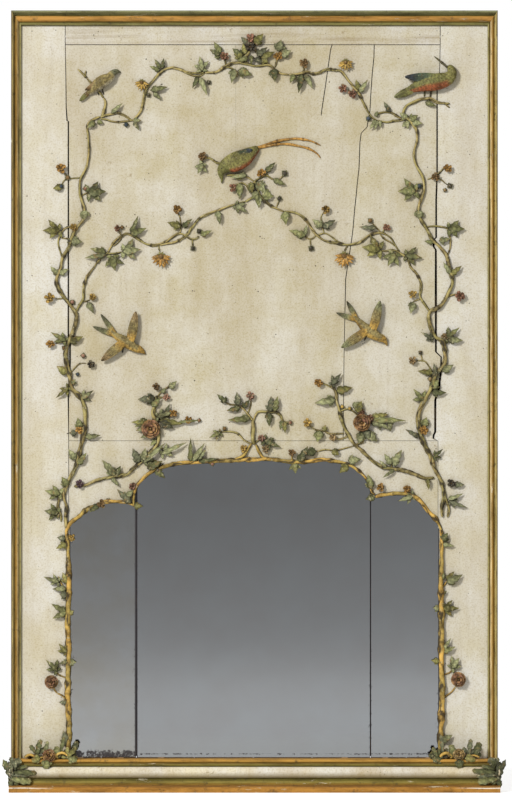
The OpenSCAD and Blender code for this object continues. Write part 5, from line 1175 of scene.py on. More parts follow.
@dataclass(frozen=True)
class BandedPaint:
    """Oil paint on a moulding, each member its own colour, with chips down to gesso and dirt
    drawn out along it; run is how far the patterns are stretched on each axis."""

    name: str
    measure: Measure
    bands: tuple[tuple[float, str], ...]
    chip: str = "#D2C7AC"
    dirt_and_shade: str = "#3A3328"
    dull: str = "#7E7460"
    scraped: str = "#F2EEE2"
    chips: float = 0.61
    chip_cells: float = 60.0
    dull_cells: float = 42.0
    dirt_cells: float = 55.0
    edge_cells: float = 90.0
    edge_wander: float = 5.0
    span: float = 130.0
    run: tuple[float, float, float] = (0.14, 1.0, 1.0)
    bare_line: float = 0.0

    def make(self) -> bpy.types.Material:
        """Builds the material: a stepped ramp over the distance, its edges shaken by noise.

        Returns:
            The material.
        """
        s = Shader(self.name)
        axes = s.add("SeparateXYZ").outputs
        way = axes["Z"]
        if self.measure is Measure.INWARDS:
            side = s.add("Math", {0: axes["X"]}, operation="ABSOLUTE")
            way = s.add("Math", {0: HALF_WIDTH, 1: side}, operation="SUBTRACT")
        elif self.measure is Measure.DOWN:
            way = s.add("Math", {0: FRAME_TOP, 1: way}, operation="SUBTRACT")
        drawn = s.add("Mapping", {"Scale": self.run})
        shake = s.add("TexNoise", {"Vector": drawn, "Scale": self.edge_cells, "Detail": 5.0})
        moved = s.add("Math", {0: shake, 1: self.edge_wander * MM, 2: -self.edge_wander * MM / 2},
                      operation="MULTIPLY_ADD")
        at = s.add("Math", {0: way, 1: moved}, operation="ADD")
        share = s.add("Math", {0: at, 1: 1 / (self.span * MM)}, operation="MULTIPLY")
        bands = s.add("ValToRGB", {"Fac": share}, [(mm / self.span, tone) for mm, tone in self.bands])
        bands.color_ramp.interpolation = "CONSTANT"
        tone = s.add("TexNoise", {"Vector": drawn, "Scale": self.dull_cells, "Detail": 8.0,
                                  "Roughness": 0.75})
        colour = s.mottle(bands, tone, (0.3, self.dull), 0.55, 0.85)
        rub = s.add("TexNoise", {"Vector": drawn, "Scale": self.chip_cells, "Detail": 9.0,
                                 "Roughness": 0.78})
        colour = s.coat(colour, self.chip, rub, (self.chips, 0.0), (self.chips + 0.03, 0.85))
        if self.bare_line:
            side = s.add("Math", {0: axes["X"]}, operation="ABSOLUTE")
            outer = s.add("MapRange", {"Value": side, "From Min": 0.64, "From Max": 0.72})
            off = s.add("Math", {0: at, 1: self.bare_line * MM}, operation="SUBTRACT")
            off = s.add("Math", {0: off}, operation="ABSOLUTE")
            line = s.add("MapRange", {"Value": off, "From Min": 0.0008, "From Max": 0.0018,
                                      "To Min": 0.95, "To Max": 0.0})
            both = s.add("Math", {0: outer, 1: line}, operation="MULTIPLY")
            colour = s.add("Mix", {0: both, 6: colour, 7: self.scraped}, data_type="RGBA")
        soot_and_shade = s.add("TexNoise", {"Scale": self.dirt_cells, "Detail": 8.0, "Roughness": 0.7})
        colour = s.coat(colour, self.dirt_and_shade, soot_and_shade, (0.55, 0.0), (0.72, 0.85))
        return s.close((rub, 0.5, 0.0015), Base_Color=s.behind(colour, PINE), Roughness=0.58,
                       Specular_IOR_Level=0.16)


@dataclass(frozen=True)
class AgedSilvering:
    """Tin and mercury mirror, grey with age, its silvering eaten away in dark spots."""

    name: str
    foot_band: float = 0.05
    foot_line: float = 0.15
    seams: tuple[tuple[float, float, float], ...] = ()
    silver: str = "#95989A"
    warm: str = "#929394"
    lost: str = "#3A3638"
    tin: tuple[str, str] = ("#55585A", "#3E4042")
    bloom_size: float = 0.16
    spot_size: float = 0.0045
    line_rise: float = 0.014

    def make(self) -> bpy.types.Material:
        """Builds the material.

        Silvering is lost where a noise and the nearness of an edge add up: a band at the foot,
        a line of dots above it, and the seams, each with its place, core and reach.

        Returns:
            The material.
        """
        s = Shader(self.name)
        axes = s.add("SeparateXYZ").outputs
        haze = s.add("TexNoise", {"Scale": 1 / self.bloom_size, "Detail": 5.0, "Roughness": 0.6})
        colour = s.add("ValToRGB", {"Fac": haze}, ((0.35, self.silver), (0.7, self.warm)))
        near = s.add("MapRange", {"Value": axes["Z"], "From Min": SILL_TOP + 0.02,
                                  "From Max": SILL_TOP + 0.034, "To Min": self.foot_band,
                                  "To Max": 0.0})
        rows = [("Z", SILL_TOP + self.line_rise, 0.0, 0.006, self.foot_line)]
        rows += [("X", x, core, reach, 0.16) for x, core, reach in self.seams]
        rows += [("X", x, core, core + 0.0006, 0.5) for x, core, reach in self.seams]
        for axis, at, core, reach, level in rows:
            apart = s.add("Math", {0: axes[axis], 1: at}, operation="SUBTRACT")
            apart = s.add("Math", {0: apart}, operation="ABSOLUTE")
            part = s.add("MapRange", {"Value": apart, "From Min": core, "From Max": reach,
                                      "To Min": level, "To Max": 0.0})
            near = s.add("Math", {0: near, 1: part}, operation="MAXIMUM")
        rot = s.add("TexNoise", {"Scale": 0.35 / self.spot_size, "Detail": 6.0, "Roughness": 0.75})
        loss = s.add("Math", {0: rot, 1: near}, operation="ADD")
        lost = s.add("ValToRGB", {"Fac": loss}, ((0.7, 0.0), (0.8, 0.92)))
        colour = s.add("Mix", {0: lost, 6: colour, 7: self.lost}, data_type="RGBA")
        rough = s.add("MapRange", {"Value": lost, "To Min": 0.07, "To Max": 0.5})
        wave = s.add("TexNoise", {"Scale": 5.0, "Detail": 1.0})
        return s.close((wave, 0.06, 0.0015), Base_Color=s.behind(colour, self.tin), Metallic=1.0,
                       Roughness=rough)


@dataclass(frozen=True)
class BareSoftwood:
    """Sawn pine left bare and darkened by age: long dark grain lines and dust."""

    name: str = "sawn pine, unfinished and aged"
    tones: tuple[str, str] = PINE
    dust: str = "#6E6456"
    ring_width: float = 0.005
    dust_cells: float = 5.0
    run: tuple[float, float, float] = (1.0, 1.0, 0.08)

    def make(self) -> bpy.types.Material:
        """Builds the material: rings drawn out twelve times along the grain.

        Returns:
            The material.
        """
        s = Shader(self.name)
        long = s.add("Mapping", {"Scale": self.run})
        rings = s.add("TexNoise", {"Vector": long, "Scale": 0.5 / self.ring_width, "Detail": 5.0,
                                   "Roughness": 0.65})
        colour = s.add("ValToRGB", {"Fac": rings}, ((0.38, self.tones[0]), (0.68, self.tones[1])))
        dust = s.add("TexNoise", {"Scale": self.dust_cells, "Detail": 6.0})
        colour = s.coat(colour, self.dust, dust, (0.4, 0.0), (0.75, 0.5))
        return s.close((rings, 0.4, 0.001), Base_Color=colour, Roughness=0.8)


@dataclass(frozen=True)
class GluedLinen:
    """Hemp linen glued over open joints, dusty behind; its front, seen in the gaps, is painted near-black
    as shade.
    """

    name: str = "hemp linen, glued, dusty behind and sooted in the gaps"
    soot_and_shade: str = "#120E0A"
    cloth: tuple[str, str] = ("#8E836A", "#6C614B")
    thread: float = 0.0016

    def make(self) -> bpy.types.Material:
        """Builds the material: the weave is a checker of the thread's width in the relief.

        Returns:
            The material.
        """
        s = Shader(self.name)
        weave = s.add("TexChecker", {"Scale": 0.5 / self.thread}).outputs["Fac"]
        # Painted shade: the front faces, seen through the joints, are near-black.
        return s.close((weave, 0.3, 0.0004), Base_Color=s.behind(self.soot_and_shade, self.cloth),
                       Roughness=0.9, Specular_IOR_Level=0.05)


@dataclass(frozen=True)
class ForgedIron:
    """Forged iron gone brown with rust, rough and nearly matt."""

    name: str = "forged iron, rusted"
    scale: str = "#4A4540"
    rust: str = "#7A4E32"
    patch_size: float = 0.012

    def make(self) -> bpy.types.Material:
        """Builds the material: rust where a fine noise is high.

        Returns:
            The material.
        """
        s = Shader(self.name)
        patch = s.add("TexNoise", {"Scale": 0.5 / self.patch_size, "Detail": 6.0, "Roughness": 0.7})
        colour = s.add("ValToRGB", {"Fac": patch}, ((0.42, self.scale), (0.6, self.rust)))
        return s.close((patch, 0.4, 0.0006), Base_Color=colour, Metallic=0.45, Roughness=0.72)


@dataclass(frozen=True)
class HideGlue:
    """Hide glue squeezed out of a joint, painted near-black as shade where it closes the slits behind the
    boards.
    """

    name: str = "hide glue, painted near-black as shade"
    colour: str = "#1A130B"
    skin_cells: float = 300.0

    def make(self) -> bpy.types.Material:
        """Builds the material: half glossy, a little uneven.

        Returns:
            The material.
        """
        s = Shader(self.name)
        skin = s.add("TexNoise", {"Scale": self.skin_cells})
        return s.close((skin, 0.4, 0.0005), Base_Color=self.colour, Roughness=0.55)


@dataclass(frozen=True)
class CarvedPolychrome:
    """Limewood carving in oil colours over gesso: worn high spots, dirt, and painted shade in the hollows
    and on the undersides.
    """

    name: str = "carved limewood, painted in oil over gesso"
    gesso: str = "#C0B68E"
    wood: str = "#8E7044"
    dull: str = "#6A6250"
    dirt_and_shade: str = "#2C251A"
    spot: str = "#3E3320"
    bare: float = 0.585
    fleck_size: float = 0.008
    dull_cells: float = 26.0
    spot_cells: float = 170.0
    dirt_cells: float = 90.0
    hollow_shade_reach: float = 0.012
    spots: float = 0.0

    def make(self) -> bpy.types.Material:
        """Builds the material from the paint attribute, whose alpha is the share of painted shade.

        Returns:
            The material.
        """
        s = Shader(self.name)
        paint = s.add("Attribute", attribute_name="paint").outputs
        tone = s.add("TexNoise", {"Scale": self.dull_cells, "Detail": 7.0, "Roughness": 0.7})
        colour = s.mottle(paint["Color"], tone, (0.34, self.dull), 0.58, 0.85)
        rub = s.add("TexNoise", {"Scale": 0.5 / self.fleck_size, "Detail": 9.0, "Roughness": 0.75})
        colour = s.coat(colour, self.wood, rub, (0.57, 0.0), (0.62, 0.65))
        bright = s.add("TexNoise", {"Scale": 0.7 / self.fleck_size, "Detail": 8.0, "Roughness": 0.7})
        colour = s.coat(colour, self.gesso, bright, (self.bare, 0.0), (self.bare + 0.05, 0.65))
        if self.spots:
            spot = s.add("TexNoise", {"Scale": self.spot_cells, "Detail": 3.0})
            colour = s.coat(colour, self.spot, spot, (0.5, 0.0), (0.6, self.spots))
        # Dirt where the noise is high and painted shade where the alpha is, in one dark coat.
        soot_and_shade = s.add("TexNoise", {"Scale": self.dirt_cells, "Detail": 6.0, "Roughness": 0.7})
        dirt_and_shade_share = s.add("Math", {0: soot_and_shade, 1: paint["Alpha"]}, operation="ADD")
        colour = s.coat(colour, self.dirt_and_shade, dirt_and_shade_share, (0.62, 0.0), (1.25, 0.9))
        # Painted shade: ambient occlusion darkens the hollows between the carved parts.
        hollow = s.add("AmbientOcclusion", {"Distance": self.hollow_shade_reach}, samples=6).outputs["AO"]
        colour = s.coat(colour, self.dirt_and_shade, hollow, (0.2, 0.9), (0.72, 0.0))
        return s.close((rub, 0.6, 0.0018), Base_Color=colour, Roughness=0.6, Specular_IOR_Level=0.2)


def dress(names: Sequence[str], material: bpy.types.Material) -> None:
    """Gives CAD nodes their finish and reports each.

    Args:
        names: Nodes.
        material: Their finish.
    """
    for name in names:
        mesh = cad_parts[name].data
        mesh.materials.clear()
        mesh.materials.append(material)
        log.info("%s: %s", name, material.name)


@dataclass
class Boards:
    """The painted front: stiles, rails, field boards and spandrels."""

    outer: tuple[str, ...] = ("left_stile", "right_stile")
    inner: tuple[str, ...] = ("left_board", "middle_board", "right_board", "arch_rail",
                              "left_spandrel", "right_spandrel")
    outer_finish: DistressedPaint = DistressedPaint(paint="#D1C9B0", veil="#DCD8CD", stain="#B9AB8B")
    inner_finish: DistressedPaint = DistressedPaint(
        "distressed casein paint, yellowed, on the field boards", paint="#C4BA9C",
        veil="#D3CDBD", stain="#AE9E79", seam_foot=1.45)
    rail_finish: DistressedPaint = DistressedPaint(
        "distressed casein paint, brushed along the top rail", paint="#C6BC9E", veil="#D4CFC4",
        stain="#AE9F7A", streaks=0.75, run=(0.035, 1.0, 1.0))
    linen: GluedLinen = GluedLinen()

    def build(self) -> None:
        """Dresses the boards and the linen behind their joints."""
        dress(self.outer, self.outer_finish.make())
        dress(self.inner, self.inner_finish.make())
        dress(("top_rail",), self.rail_finish.make())
        dress(("joint_linens",), self.linen.make())


@dataclass
class Mouldings:
    """The side and top mouldings, whose members are painted in their own colours."""

    side: BandedPaint = BandedPaint(
        "oil paint on a run pine moulding, sides", Measure.INWARDS,
        ((0.0, "#7C6A42"), (4.0, "#C2B070"), (9.0, "#B0924C"), (12.0, "#A4803C"),
         (15.0, "#A88646"), (20.0, "#E6CC98"), (23.0, "#84743E"), (26.0, "#9E9460")), span=40.0,
        run=(1.0, 1.0, 0.14))
    top: BandedPaint = BandedPaint(
        "oil paint on a run pine moulding, top", Measure.DOWN,
        ((0.0, "#8A8A66"), (4.0, "#8E8C60"), (13.0, "#74703A"), (15.5, "#8E7438"),
         (18.0, "#C08E46"), (34.5, "#8C783A"), (38.0, "#7C7642"), (42.0, "#827C4A"),
         (46.0, "#6A6234")), span=60.0)

    def build(self) -> None:
        """Dresses the three mouldings."""
        dress(("left_moulding", "right_moulding"), self.side.make())
        dress(("top_moulding",), self.top.make())


@dataclass
class Base:
    """The stepped base: ochre plinth, green hollow, cream frieze and a sill with two beads."""

    tiers: BandedPaint = BandedPaint(
        "oil paint on the planed pine base", Measure.UP,
        ((0.0, "#B8843A"), (17.0, "#8E6630"), (24.0, "#8C6E2C"), (29.0, "#8E7E3C"),
         (36.0, "#6E6426"), (45.5, "#6A5E2C"), (82.0, "#6E6428"), (89.0, "#86723A"),
         (93.0, "#8E6E2C"), (98.0, "#BC8E40"), (106.5, "#7C6A44")), bare_line=14.5)
    # The frieze's foot paints shade under its rounded lower edge.
    frieze: DistressedPaint = DistressedPaint(
        "distressed casein paint on the rounded frieze", paint="#E2D6B4", stain_size=0.2,
        streak_width=0.012, speck_size=0.008, wear=0.6, foot=0.05)

    def build(self) -> None:
        """Dresses the base."""
        dress(("plinth_board", "foot_moulding", "sill_board"), self.tiers.make())
        dress(("frieze",), self.frieze.make())


@dataclass
class Glass:
    """Three old mirror plates; the left one has lost most silver."""

    left: AgedSilvering = AgedSilvering(
        "mercury-silvered plate glass, left", 0.3, 0.3,
        ((-0.381, 0.0035, 0.02), (-0.594, 0.002, 0.03)), silver="#9B9D9E", warm="#96948E")
    centre: AgedSilvering = AgedSilvering(
        "mercury-silvered plate glass, centre", 0.04, 0.24,
        ((-0.379, 0.003, 0.016), (0.372, 0.001, 0.014)))
    right: AgedSilvering = AgedSilvering(
        "mercury-silvered plate glass, right", 0.1, 0.27,
        ((0.374, 0.001, 0.01), (0.594, 0.003, 0.022)))

    def build(self) -> None:
        """Dresses the plates."""
        for name in ("left", "centre", "right"):
            dress((name + "_plate",), getattr(self, name).make())


@dataclass
class Back:
    """The parts behind the front: bare wood and iron."""

    upright: tuple[str, ...] = ("dowels", "backboards", "left_back_stile", "right_back_stile")
    level: tuple[str, ...] = ("core_rail", "setting_slips", "cross_battens")
    iron: tuple[str, ...] = ("batten_screws", "hanging_plates", "plate_screws")
    batten_rises: tuple[float, ...] = (0.15, 0.62, 1.09, 1.2, 1.56, 1.97, 2.385)
    batten_width: float = 0.07
    bead: float = 0.003
    bead_depth: float = 0.8 * MM
    bead_lap: float = 0.05 * MM

    def glue(self) -> None:
        """Lays the glue squeezed out at each batten's two edges, as one flat bead to an edge.

        A bead is a box whose corners take the low or high bound on each axis. It starts inside
        the boards by its lap, and covers the edge of the batten and the linen beside it.
        """
        low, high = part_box("cross_battens")
        rises = np.array(self.batten_rises)
        edges = np.concatenate([rises - self.batten_width / 2, rises + self.batten_width / 2])
        pick = np.array([[0, 0, 0], [1, 0, 0], [1, 1, 0], [0, 1, 0],
                         [0, 0, 1], [1, 0, 1], [1, 1, 1], [0, 1, 1]])
        lows = np.array([low.x + MM, low.y - self.bead_lap, -self.bead])
        highs = np.array([high.x - MM, low.y + self.bead_depth, self.bead])
        corners = np.where(pick, highs, lows)
        points = corners[None] + np.stack([0 * edges, 0 * edges, edges], -1)[:, None]
        sides = np.array([[0, 3, 2, 1], [4, 5, 6, 7], [0, 1, 5, 4], [2, 3, 7, 6], [1, 2, 6, 5],
                          [3, 0, 4, 7]])
        faces = (np.arange(len(edges))[:, None, None] * len(pick) + sides).reshape(-1, 4)
        # Painted shade: the beads are near-black so that the slits behind the joints read dark.
        beads = new_object("glue_beads", points.reshape(-1, 3), faces.tolist(), HideGlue().make())
        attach(beads, "root")
        log.info("glue_beads: %d beads", len(edges))

    def build(self) -> None:
        """Dresses the back."""
        self.glue()
        dress(self.upright, BareSoftwood().make())
        dress(self.level, BareSoftwood("sawn pine battens, unfinished and aged",
                                       run=(0.08, 1.0, 1.0)).make())
        dress(self.iron, ForgedIron().make())


@dataclass(frozen=True)
class CornerSpray:
    """A rose among leaves that stands on the sill, in millimetres from the field's datum.

    A block is x, z, radius and how far its top lies behind the sill's front. The rose is x, z,
    radius and paint. A stem is width and route. A leaf is its row, paint and how far it lies in
    front of the sill's front, less than 0 behind it.
    """

    blocks: tuple
    rose: tuple
    stems: tuple
    leaves: tuple


CORNERS: dict[str, CornerSpray] = {
    "left_corner_spray": CornerSpray(
        blocks=((-658, 16, 17, 4), (-624, 20, 11, 6), (-592, 18, 11, 8), (-702, 15, 9, 2),
                (-724, 13, 7, 8)),
        rose=(-658, 18, 21, Tint.ROSE),
        stems=((11, -592, 12, -606, 24, -622, 26, -636, 16, -628, 8),
               (10, -738, 12, -720, 20, -704, 14, -690, 8, -676, 12)),
        leaves=(
            ((-700, 10, -690, 66, 40), Tint.DEEP, -18), ((-676, 8, -664, 60, 30), Tint.SAGE, -20),
            ((-604, 6, -574, 42, 34), Tint.OLIVE, -10), ((-626, 10, -612, 72, 30), Tint.DEEP, -20),
            ((-592, 12, -566, 58, 22), Tint.DEEP, -18), ((-640, 8, -630, 44, 24), Tint.LEAF, -14),
            ((-664, 8, -668, -22, 24), Tint.LEAF, 0), ((-684, 10, -712, 4, 20), Tint.OLIVE, -4),
            ((-600, 8, -570, 4, 20), Tint.LEAF, -6))),
    "right_corner_spray": CornerSpray(
        blocks=((655, 19, 15, 4), (624, 17, 11, 6), (588, 16, 11, 8), (700, 16, 10, 2),
                (680, 15, 9, 6)),
        rose=(655, 22, 19, Tint.TAN),
        stems=((11, 590, 10, 604, 22, 620, 26, 634, 16, 626, 8),
               (9, 722, 10, 708, 18, 694, 16, 682, 8)),
        leaves=(
            ((684, 10, 694, 66, 36), Tint.SLATE, -18), ((704, 8, 722, 56, 26), Tint.DEEP, -18),
            ((592, 6, 570, 40, 32), Tint.DEEP, -10), ((606, 10, 598, 78, 30), Tint.SLATE, -20),
            ((588, 12, 566, 26, 26), Tint.OLIVE, -14), ((640, 8, 632, 50, 24), Tint.LEAF, -14),
            ((655, 8, 658, -20, 22), Tint.DEEP, 0), ((672, 10, 706, 6, 20), Tint.OLIVE, -4),
            ((600, 8, 572, 2, 22), Tint.DEEP, -6))),
}


@dataclass(frozen=True)
class Bird:
    """A carved bird, in millimetres from the field's datum.

    A mass is x, z, radius and height, from tail to head; the tints are of back, belly and head.
    A wing is foot, tip, width, lift, its three tints, rise and bend, far before the body and near
    over it. An eye is x, z, radius, low and high. A leg is width and route, a plume or bill a route.
    """

    masses: tuple
    tints: tuple[Tint, Tint, Tint]
    head_share: float
    eye: tuple[float, ...]
    far: tuple = ()
    near: tuple = ()
    legs: tuple = ()
    plumes: tuple = ()
    bills: tuple = ()
    feather: float = 0.7
    belly_top: float = 0.0


FORK = (Tint.OCHRE, Tint.SAGE, Tint.SLATE)
BIRDS: dict[str, Bird] = {
    "small_bird": Bird(
        ((-540, 2140, 5, 12), (-526, 2150, 11, 18), (-510, 2165, 18, 26), (-488, 2181, 20, 32),
         (-466, 2194, 15, 29), (-455, 2207, 11, 24), (-443, 2213, 8, 19), (-435, 2212, 4, 12),
         (-429, 2210, 2, 7)),
        (Tint.BARK, Tint.CREAM, Tint.SLATE), 0.8, (-449, 2213, 2.4, 15, 24),
        far=(((-530, 2148), (-562, 2118), 17, 9, (Tint.BROWN, Tint.MOSS, Tint.MOSS), -2),),
        near=(((-472, 2196), (-545, 2152), 19, 23, (Tint.BARK, Tint.TAN, Tint.BROWN), -9),),
        legs=((4, -504, 2152, -500, 2136), (4, -490, 2160, -484, 2138)), feather=0.9, belly_top=-0.3),
    "long_billed_bird": Bird(
        ((488, 2150, 8, 14), (512, 2160, 15, 21), (545, 2172, 24, 32), (588, 2180, 27, 37),
         (620, 2190, 22, 33), (634, 2208, 16, 29), (629, 2223, 12, 24), (618, 2228, 6, 15)),
        (Tint.MOSS, Tint.BELLY, Tint.OLIVE), 0.72, (627, 2221, 2.6, 18, 26),
        far=(((516, 2158), (448, 2130), 27, 12, (Tint.OLIVE, Tint.MOSS, Tint.LEAF), -3),),
        near=(((606, 2192), (482, 2190), 32, 28, (Tint.MOSS, Tint.TEAL, Tint.BLUE), -12, -0.04),),
        legs=((5, 548, 2156, 546, 2132), (5, 570, 2156, 564, 2130)),
        bills=((620, 2226, 600, 2243, 577, 2262),), belly_top=0.1),
    "long_tailed_bird": Bird(
        ((14, 1970, 8, 14), (-10, 1952, 20, 26), (-36, 1934, 29, 36), (-65, 1921, 31, 36),
         (-90, 1910, 24, 31), (-104, 1895, 16, 24), (-107, 1880, 9, 17), (-105, 1868, 4, 12),
         (-105, 1853, 2, 8)),
        (Tint.OLIVE, Tint.BELLY, Tint.MOSS), 0.66, (-106, 1901, 2.6, 17, 26),
        near=(((-70, 1938), (-6, 1962), 24, 30, (Tint.OLIVE, Tint.TEAL, Tint.BLUE), -8),),
        plumes=((6, 1966, 60, 1986, 105, 1995, 140, 1997, 180, 1990, 212, 1976),
                (6, 1966, 65, 1978, 105, 1980, 145, 1973, 175, 1965, 200, 1950, 212, 1935)),
        belly_top=-0.35),
    "left_swallow": Bird(
        ((-464, 1384, 5, 12), (-450, 1368, 9, 18), (-430, 1355, 14, 26), (-405, 1340, 18, 30),
         (-386, 1326, 13, 26), (-370, 1320, 12, 23), (-358, 1312, 6, 14), (-350, 1304, 2, 8)),
        (Tint.BARK, Tint.YELLOW, Tint.OCHRE), 0.8, (-369, 1323, 2.2, 15, 22),
        far=(((-444, 1364), (-494, 1434), 17, 8, FORK, -2), ((-444, 1364), (-520, 1394), 17, 9, FORK, -2)),
        near=(((-402, 1334), (-374, 1441), 31, 22, (Tint.OCHRE, Tint.BARK, Tint.TAN), -8, 0.06),
              ((-412, 1352), (-488, 1278), 31, 22, (Tint.OCHRE, Tint.BARK, Tint.TAN), -8, -0.06)),
        legs=((4, -420, 1330, -425, 1308),), feather=0.9),
    "right_swallow": Bird(
        ((315, 1430, 5, 12), (335, 1410, 10, 18), (355, 1390, 15, 26), (376, 1374, 19, 30),
         (396, 1361, 14, 27), (412, 1354, 12, 24), (421, 1344, 6, 14), (427, 1331, 2, 8)),
        (Tint.BARK, Tint.YELLOW, Tint.OCHRE), 0.8, (413, 1357, 2.2, 15, 22),
        far=(((330, 1414), (296, 1476), 16, 8, FORK, -2), ((330, 1414), (262, 1438), 16, 9, FORK, -2)),
        near=(((376, 1374), (410, 1475), 31, 22, (Tint.OCHRE, Tint.BARK, Tint.SAGE), -8, 0.06),
              ((366, 1386), (282, 1320), 31, 22, (Tint.OCHRE, Tint.BARK, Tint.SAGE), -8, -0.06)),
        legs=((4, 362, 1368, 352, 1346),), feather=0.9),
}


@dataclass
class Carvings:
    """All the carved ornament: vines, garlands, sprays, borders, corner leaves and birds."""

    finish: CarvedPolychrome = CarvedPolychrome()
    plumage: CarvedPolychrome = CarvedPolychrome(
        "carved limewood plumage, painted in oil over gesso", gesso="#B4AA84", wood="#7A6A44",
        bare=0.6, fleck_size=0.006, spots=0.55)
    sill_out: float = 56.0
    corner_inset: float = 0.008
    plume_width: float = 8.0
    bill_width: float = 7.0
    growth_seed: int = 100
    corner_seed: int = 31
    base_seed: int = 40
    bird_seed: int = 51

    def build(self) -> None:
        """Builds every carved piece in order."""
        material, plumage = self.finish.make(), self.plumage.make()
        for seed, (name, growth) in enumerate(GROWTHS.items(), self.growth_seed):
            on_spring = name.endswith("spray") or name == "arch_border"
            carver = Carver(name, SPRING if on_spring else FIELD, seed)
            carver.grow(growth)
            carver.finish(material, "carved_sprays" if name.endswith("spray") else "carved_stems")
        for seed, (name, spray) in enumerate(CORNERS.items(), self.corner_seed):
            self.corner_spray(name, seed, spray).finish(material, "carved_sprays")
        for side in (-1, 1):
            self.base_leaves(side).finish(material, "carved_sprays")
        for seed, (name, bird) in enumerate(BIRDS.items(), self.bird_seed):
            self.bird(name, seed, bird).finish(plumage, "carved_birds")

    def corner_spray(self, name: str, seed: int, spray: CornerSpray) -> Carver:
        """Carves the rose, stems and leaves on the sill, in front of blocks from the board.

        Args:
            name: CAD node that it stands for.
            seed: Seed of its random draws.
            spray: Its blocks, rose, stems and leaves.

        Returns:
            The carved piece.
        """
        c = Carver(name, FIELD, seed)
        out = self.sill_out
        for x, z, radius, behind in spray.blocks:
            c.bead(x, z, radius, 0, out - behind, Tint.BROWN)
        c.rose(*spray.rose, out - 10)
        for width, *route in spray.stems:
            c.stem(width, route, Tint.OCHRE, out - 12)
        for row, tint, lift in spray.leaves:
            c.leaf(row, tint, out + lift, True)
        return c

    def corner(self, side: int) -> Plane:
        """Gives the plane that faces out at 45 degrees on a front corner.

        Args:
            side: -1 for the left corner, 1 for the right one.

        Returns:
            The plane.
        """
        r = math.sqrt(0.5)
        return Plane((side * (HALF_WIDTH - self.corner_inset), SILL_FRONT + self.corner_inset, 0.0),
                     (r, side * r, 0.0), out=(side * r, -r, 0.0))

    def base_leaves(self, side: int) -> Carver:
        """Carves the leaves that clasp a front corner of the base: a stem, its front, its side.

        Args:
            side: -1 for the left corner, 1 for the right one.

        Returns:
            The carved piece.
        """
        name = "left_base_leaves" if side < 0 else "right_base_leaves"
        c = Carver(name, self.corner(side), self.base_seed + side)
        c.stem(22, (0, 22, 0, 50, 0, 76, 0, 98), Tint.DARK, -8, (0.7, 0.7))
        for x, z, angle, length, width, tint in (
                (0, 44, 1.57, 60, 34, Tint.SLATE), (-6, 72, 2.3, 44, 26, Tint.DEEP),
                (6, 72, 0.85, 44, 26, Tint.SLATE), (0, 44, -1.4, 34, 24, Tint.DEEP)):
            c.blade((x, z), angle, length, width, 6, tint, rise=5)
        c.plane = BASE_FRONT
        edge = side * HALF_WIDTH / MM
        for z0, reach, z1, width, tint in (
                (56, 66, 56, 30, Tint.SLATE), (44, 62, 38, 26, Tint.LEAF), (72, 50, 84, 28, Tint.DEEP),
                (86, 30, 106, 26, Tint.SLATE), (64, 78, 68, 20, Tint.DEEP)):
            c.leaf((edge + side * 3, z0, edge - side * reach, z1, width), tint, 1, True)
        c.plane = Plane((side * HALF_WIDTH, 0.0, 0.0), (0.0, side, 0.0), out=(side, 0.0, 0.0))
        edge = side * SILL_FRONT / MM
        for z0, reach, z1, width, tint in ((58, 46, 50, 28, Tint.SLATE), (68, 40, 86, 26, Tint.DEEP),
                                           (44, 34, 33, 20, Tint.LEAF)):
            c.leaf((edge + side * 3, z0, edge + side * (3 + reach), z1, width), tint, 0, True)
        return c

    def bird(self, name: str, seed: int, form: Bird) -> Carver:
        """Carves a bird: plumes, far wings or tail, body, bill, near wings, eye and legs.

        Args:
            name: CAD node that it stands for.
            seed: Seed of its random draws.
            form: Its masses, paints, wings, plumes, bill and legs.

        Returns:
            The carved piece.
        """
        c = Carver(name, FIELD, seed)
        for route in form.plumes:
            c.stem(self.plume_width, route, Tint.ORANGE, 0, (1.2, 0.5), twisted=0.0)
        for row in form.far:
            c.wing(*row)
        c.body(form.masses, *form.tints, form.head_share, form.feather, form.belly_top)
        for route in form.bills:
            c.stem(self.bill_width, route, Tint.DARK, 6, (1.2, 0.4))
        for row in form.near:
            c.wing(*row)
        c.bead(*form.eye, Tint.DARK)
        for width, *route in form.legs:
            c.stem(width, route, Tint.DARK)
        return c


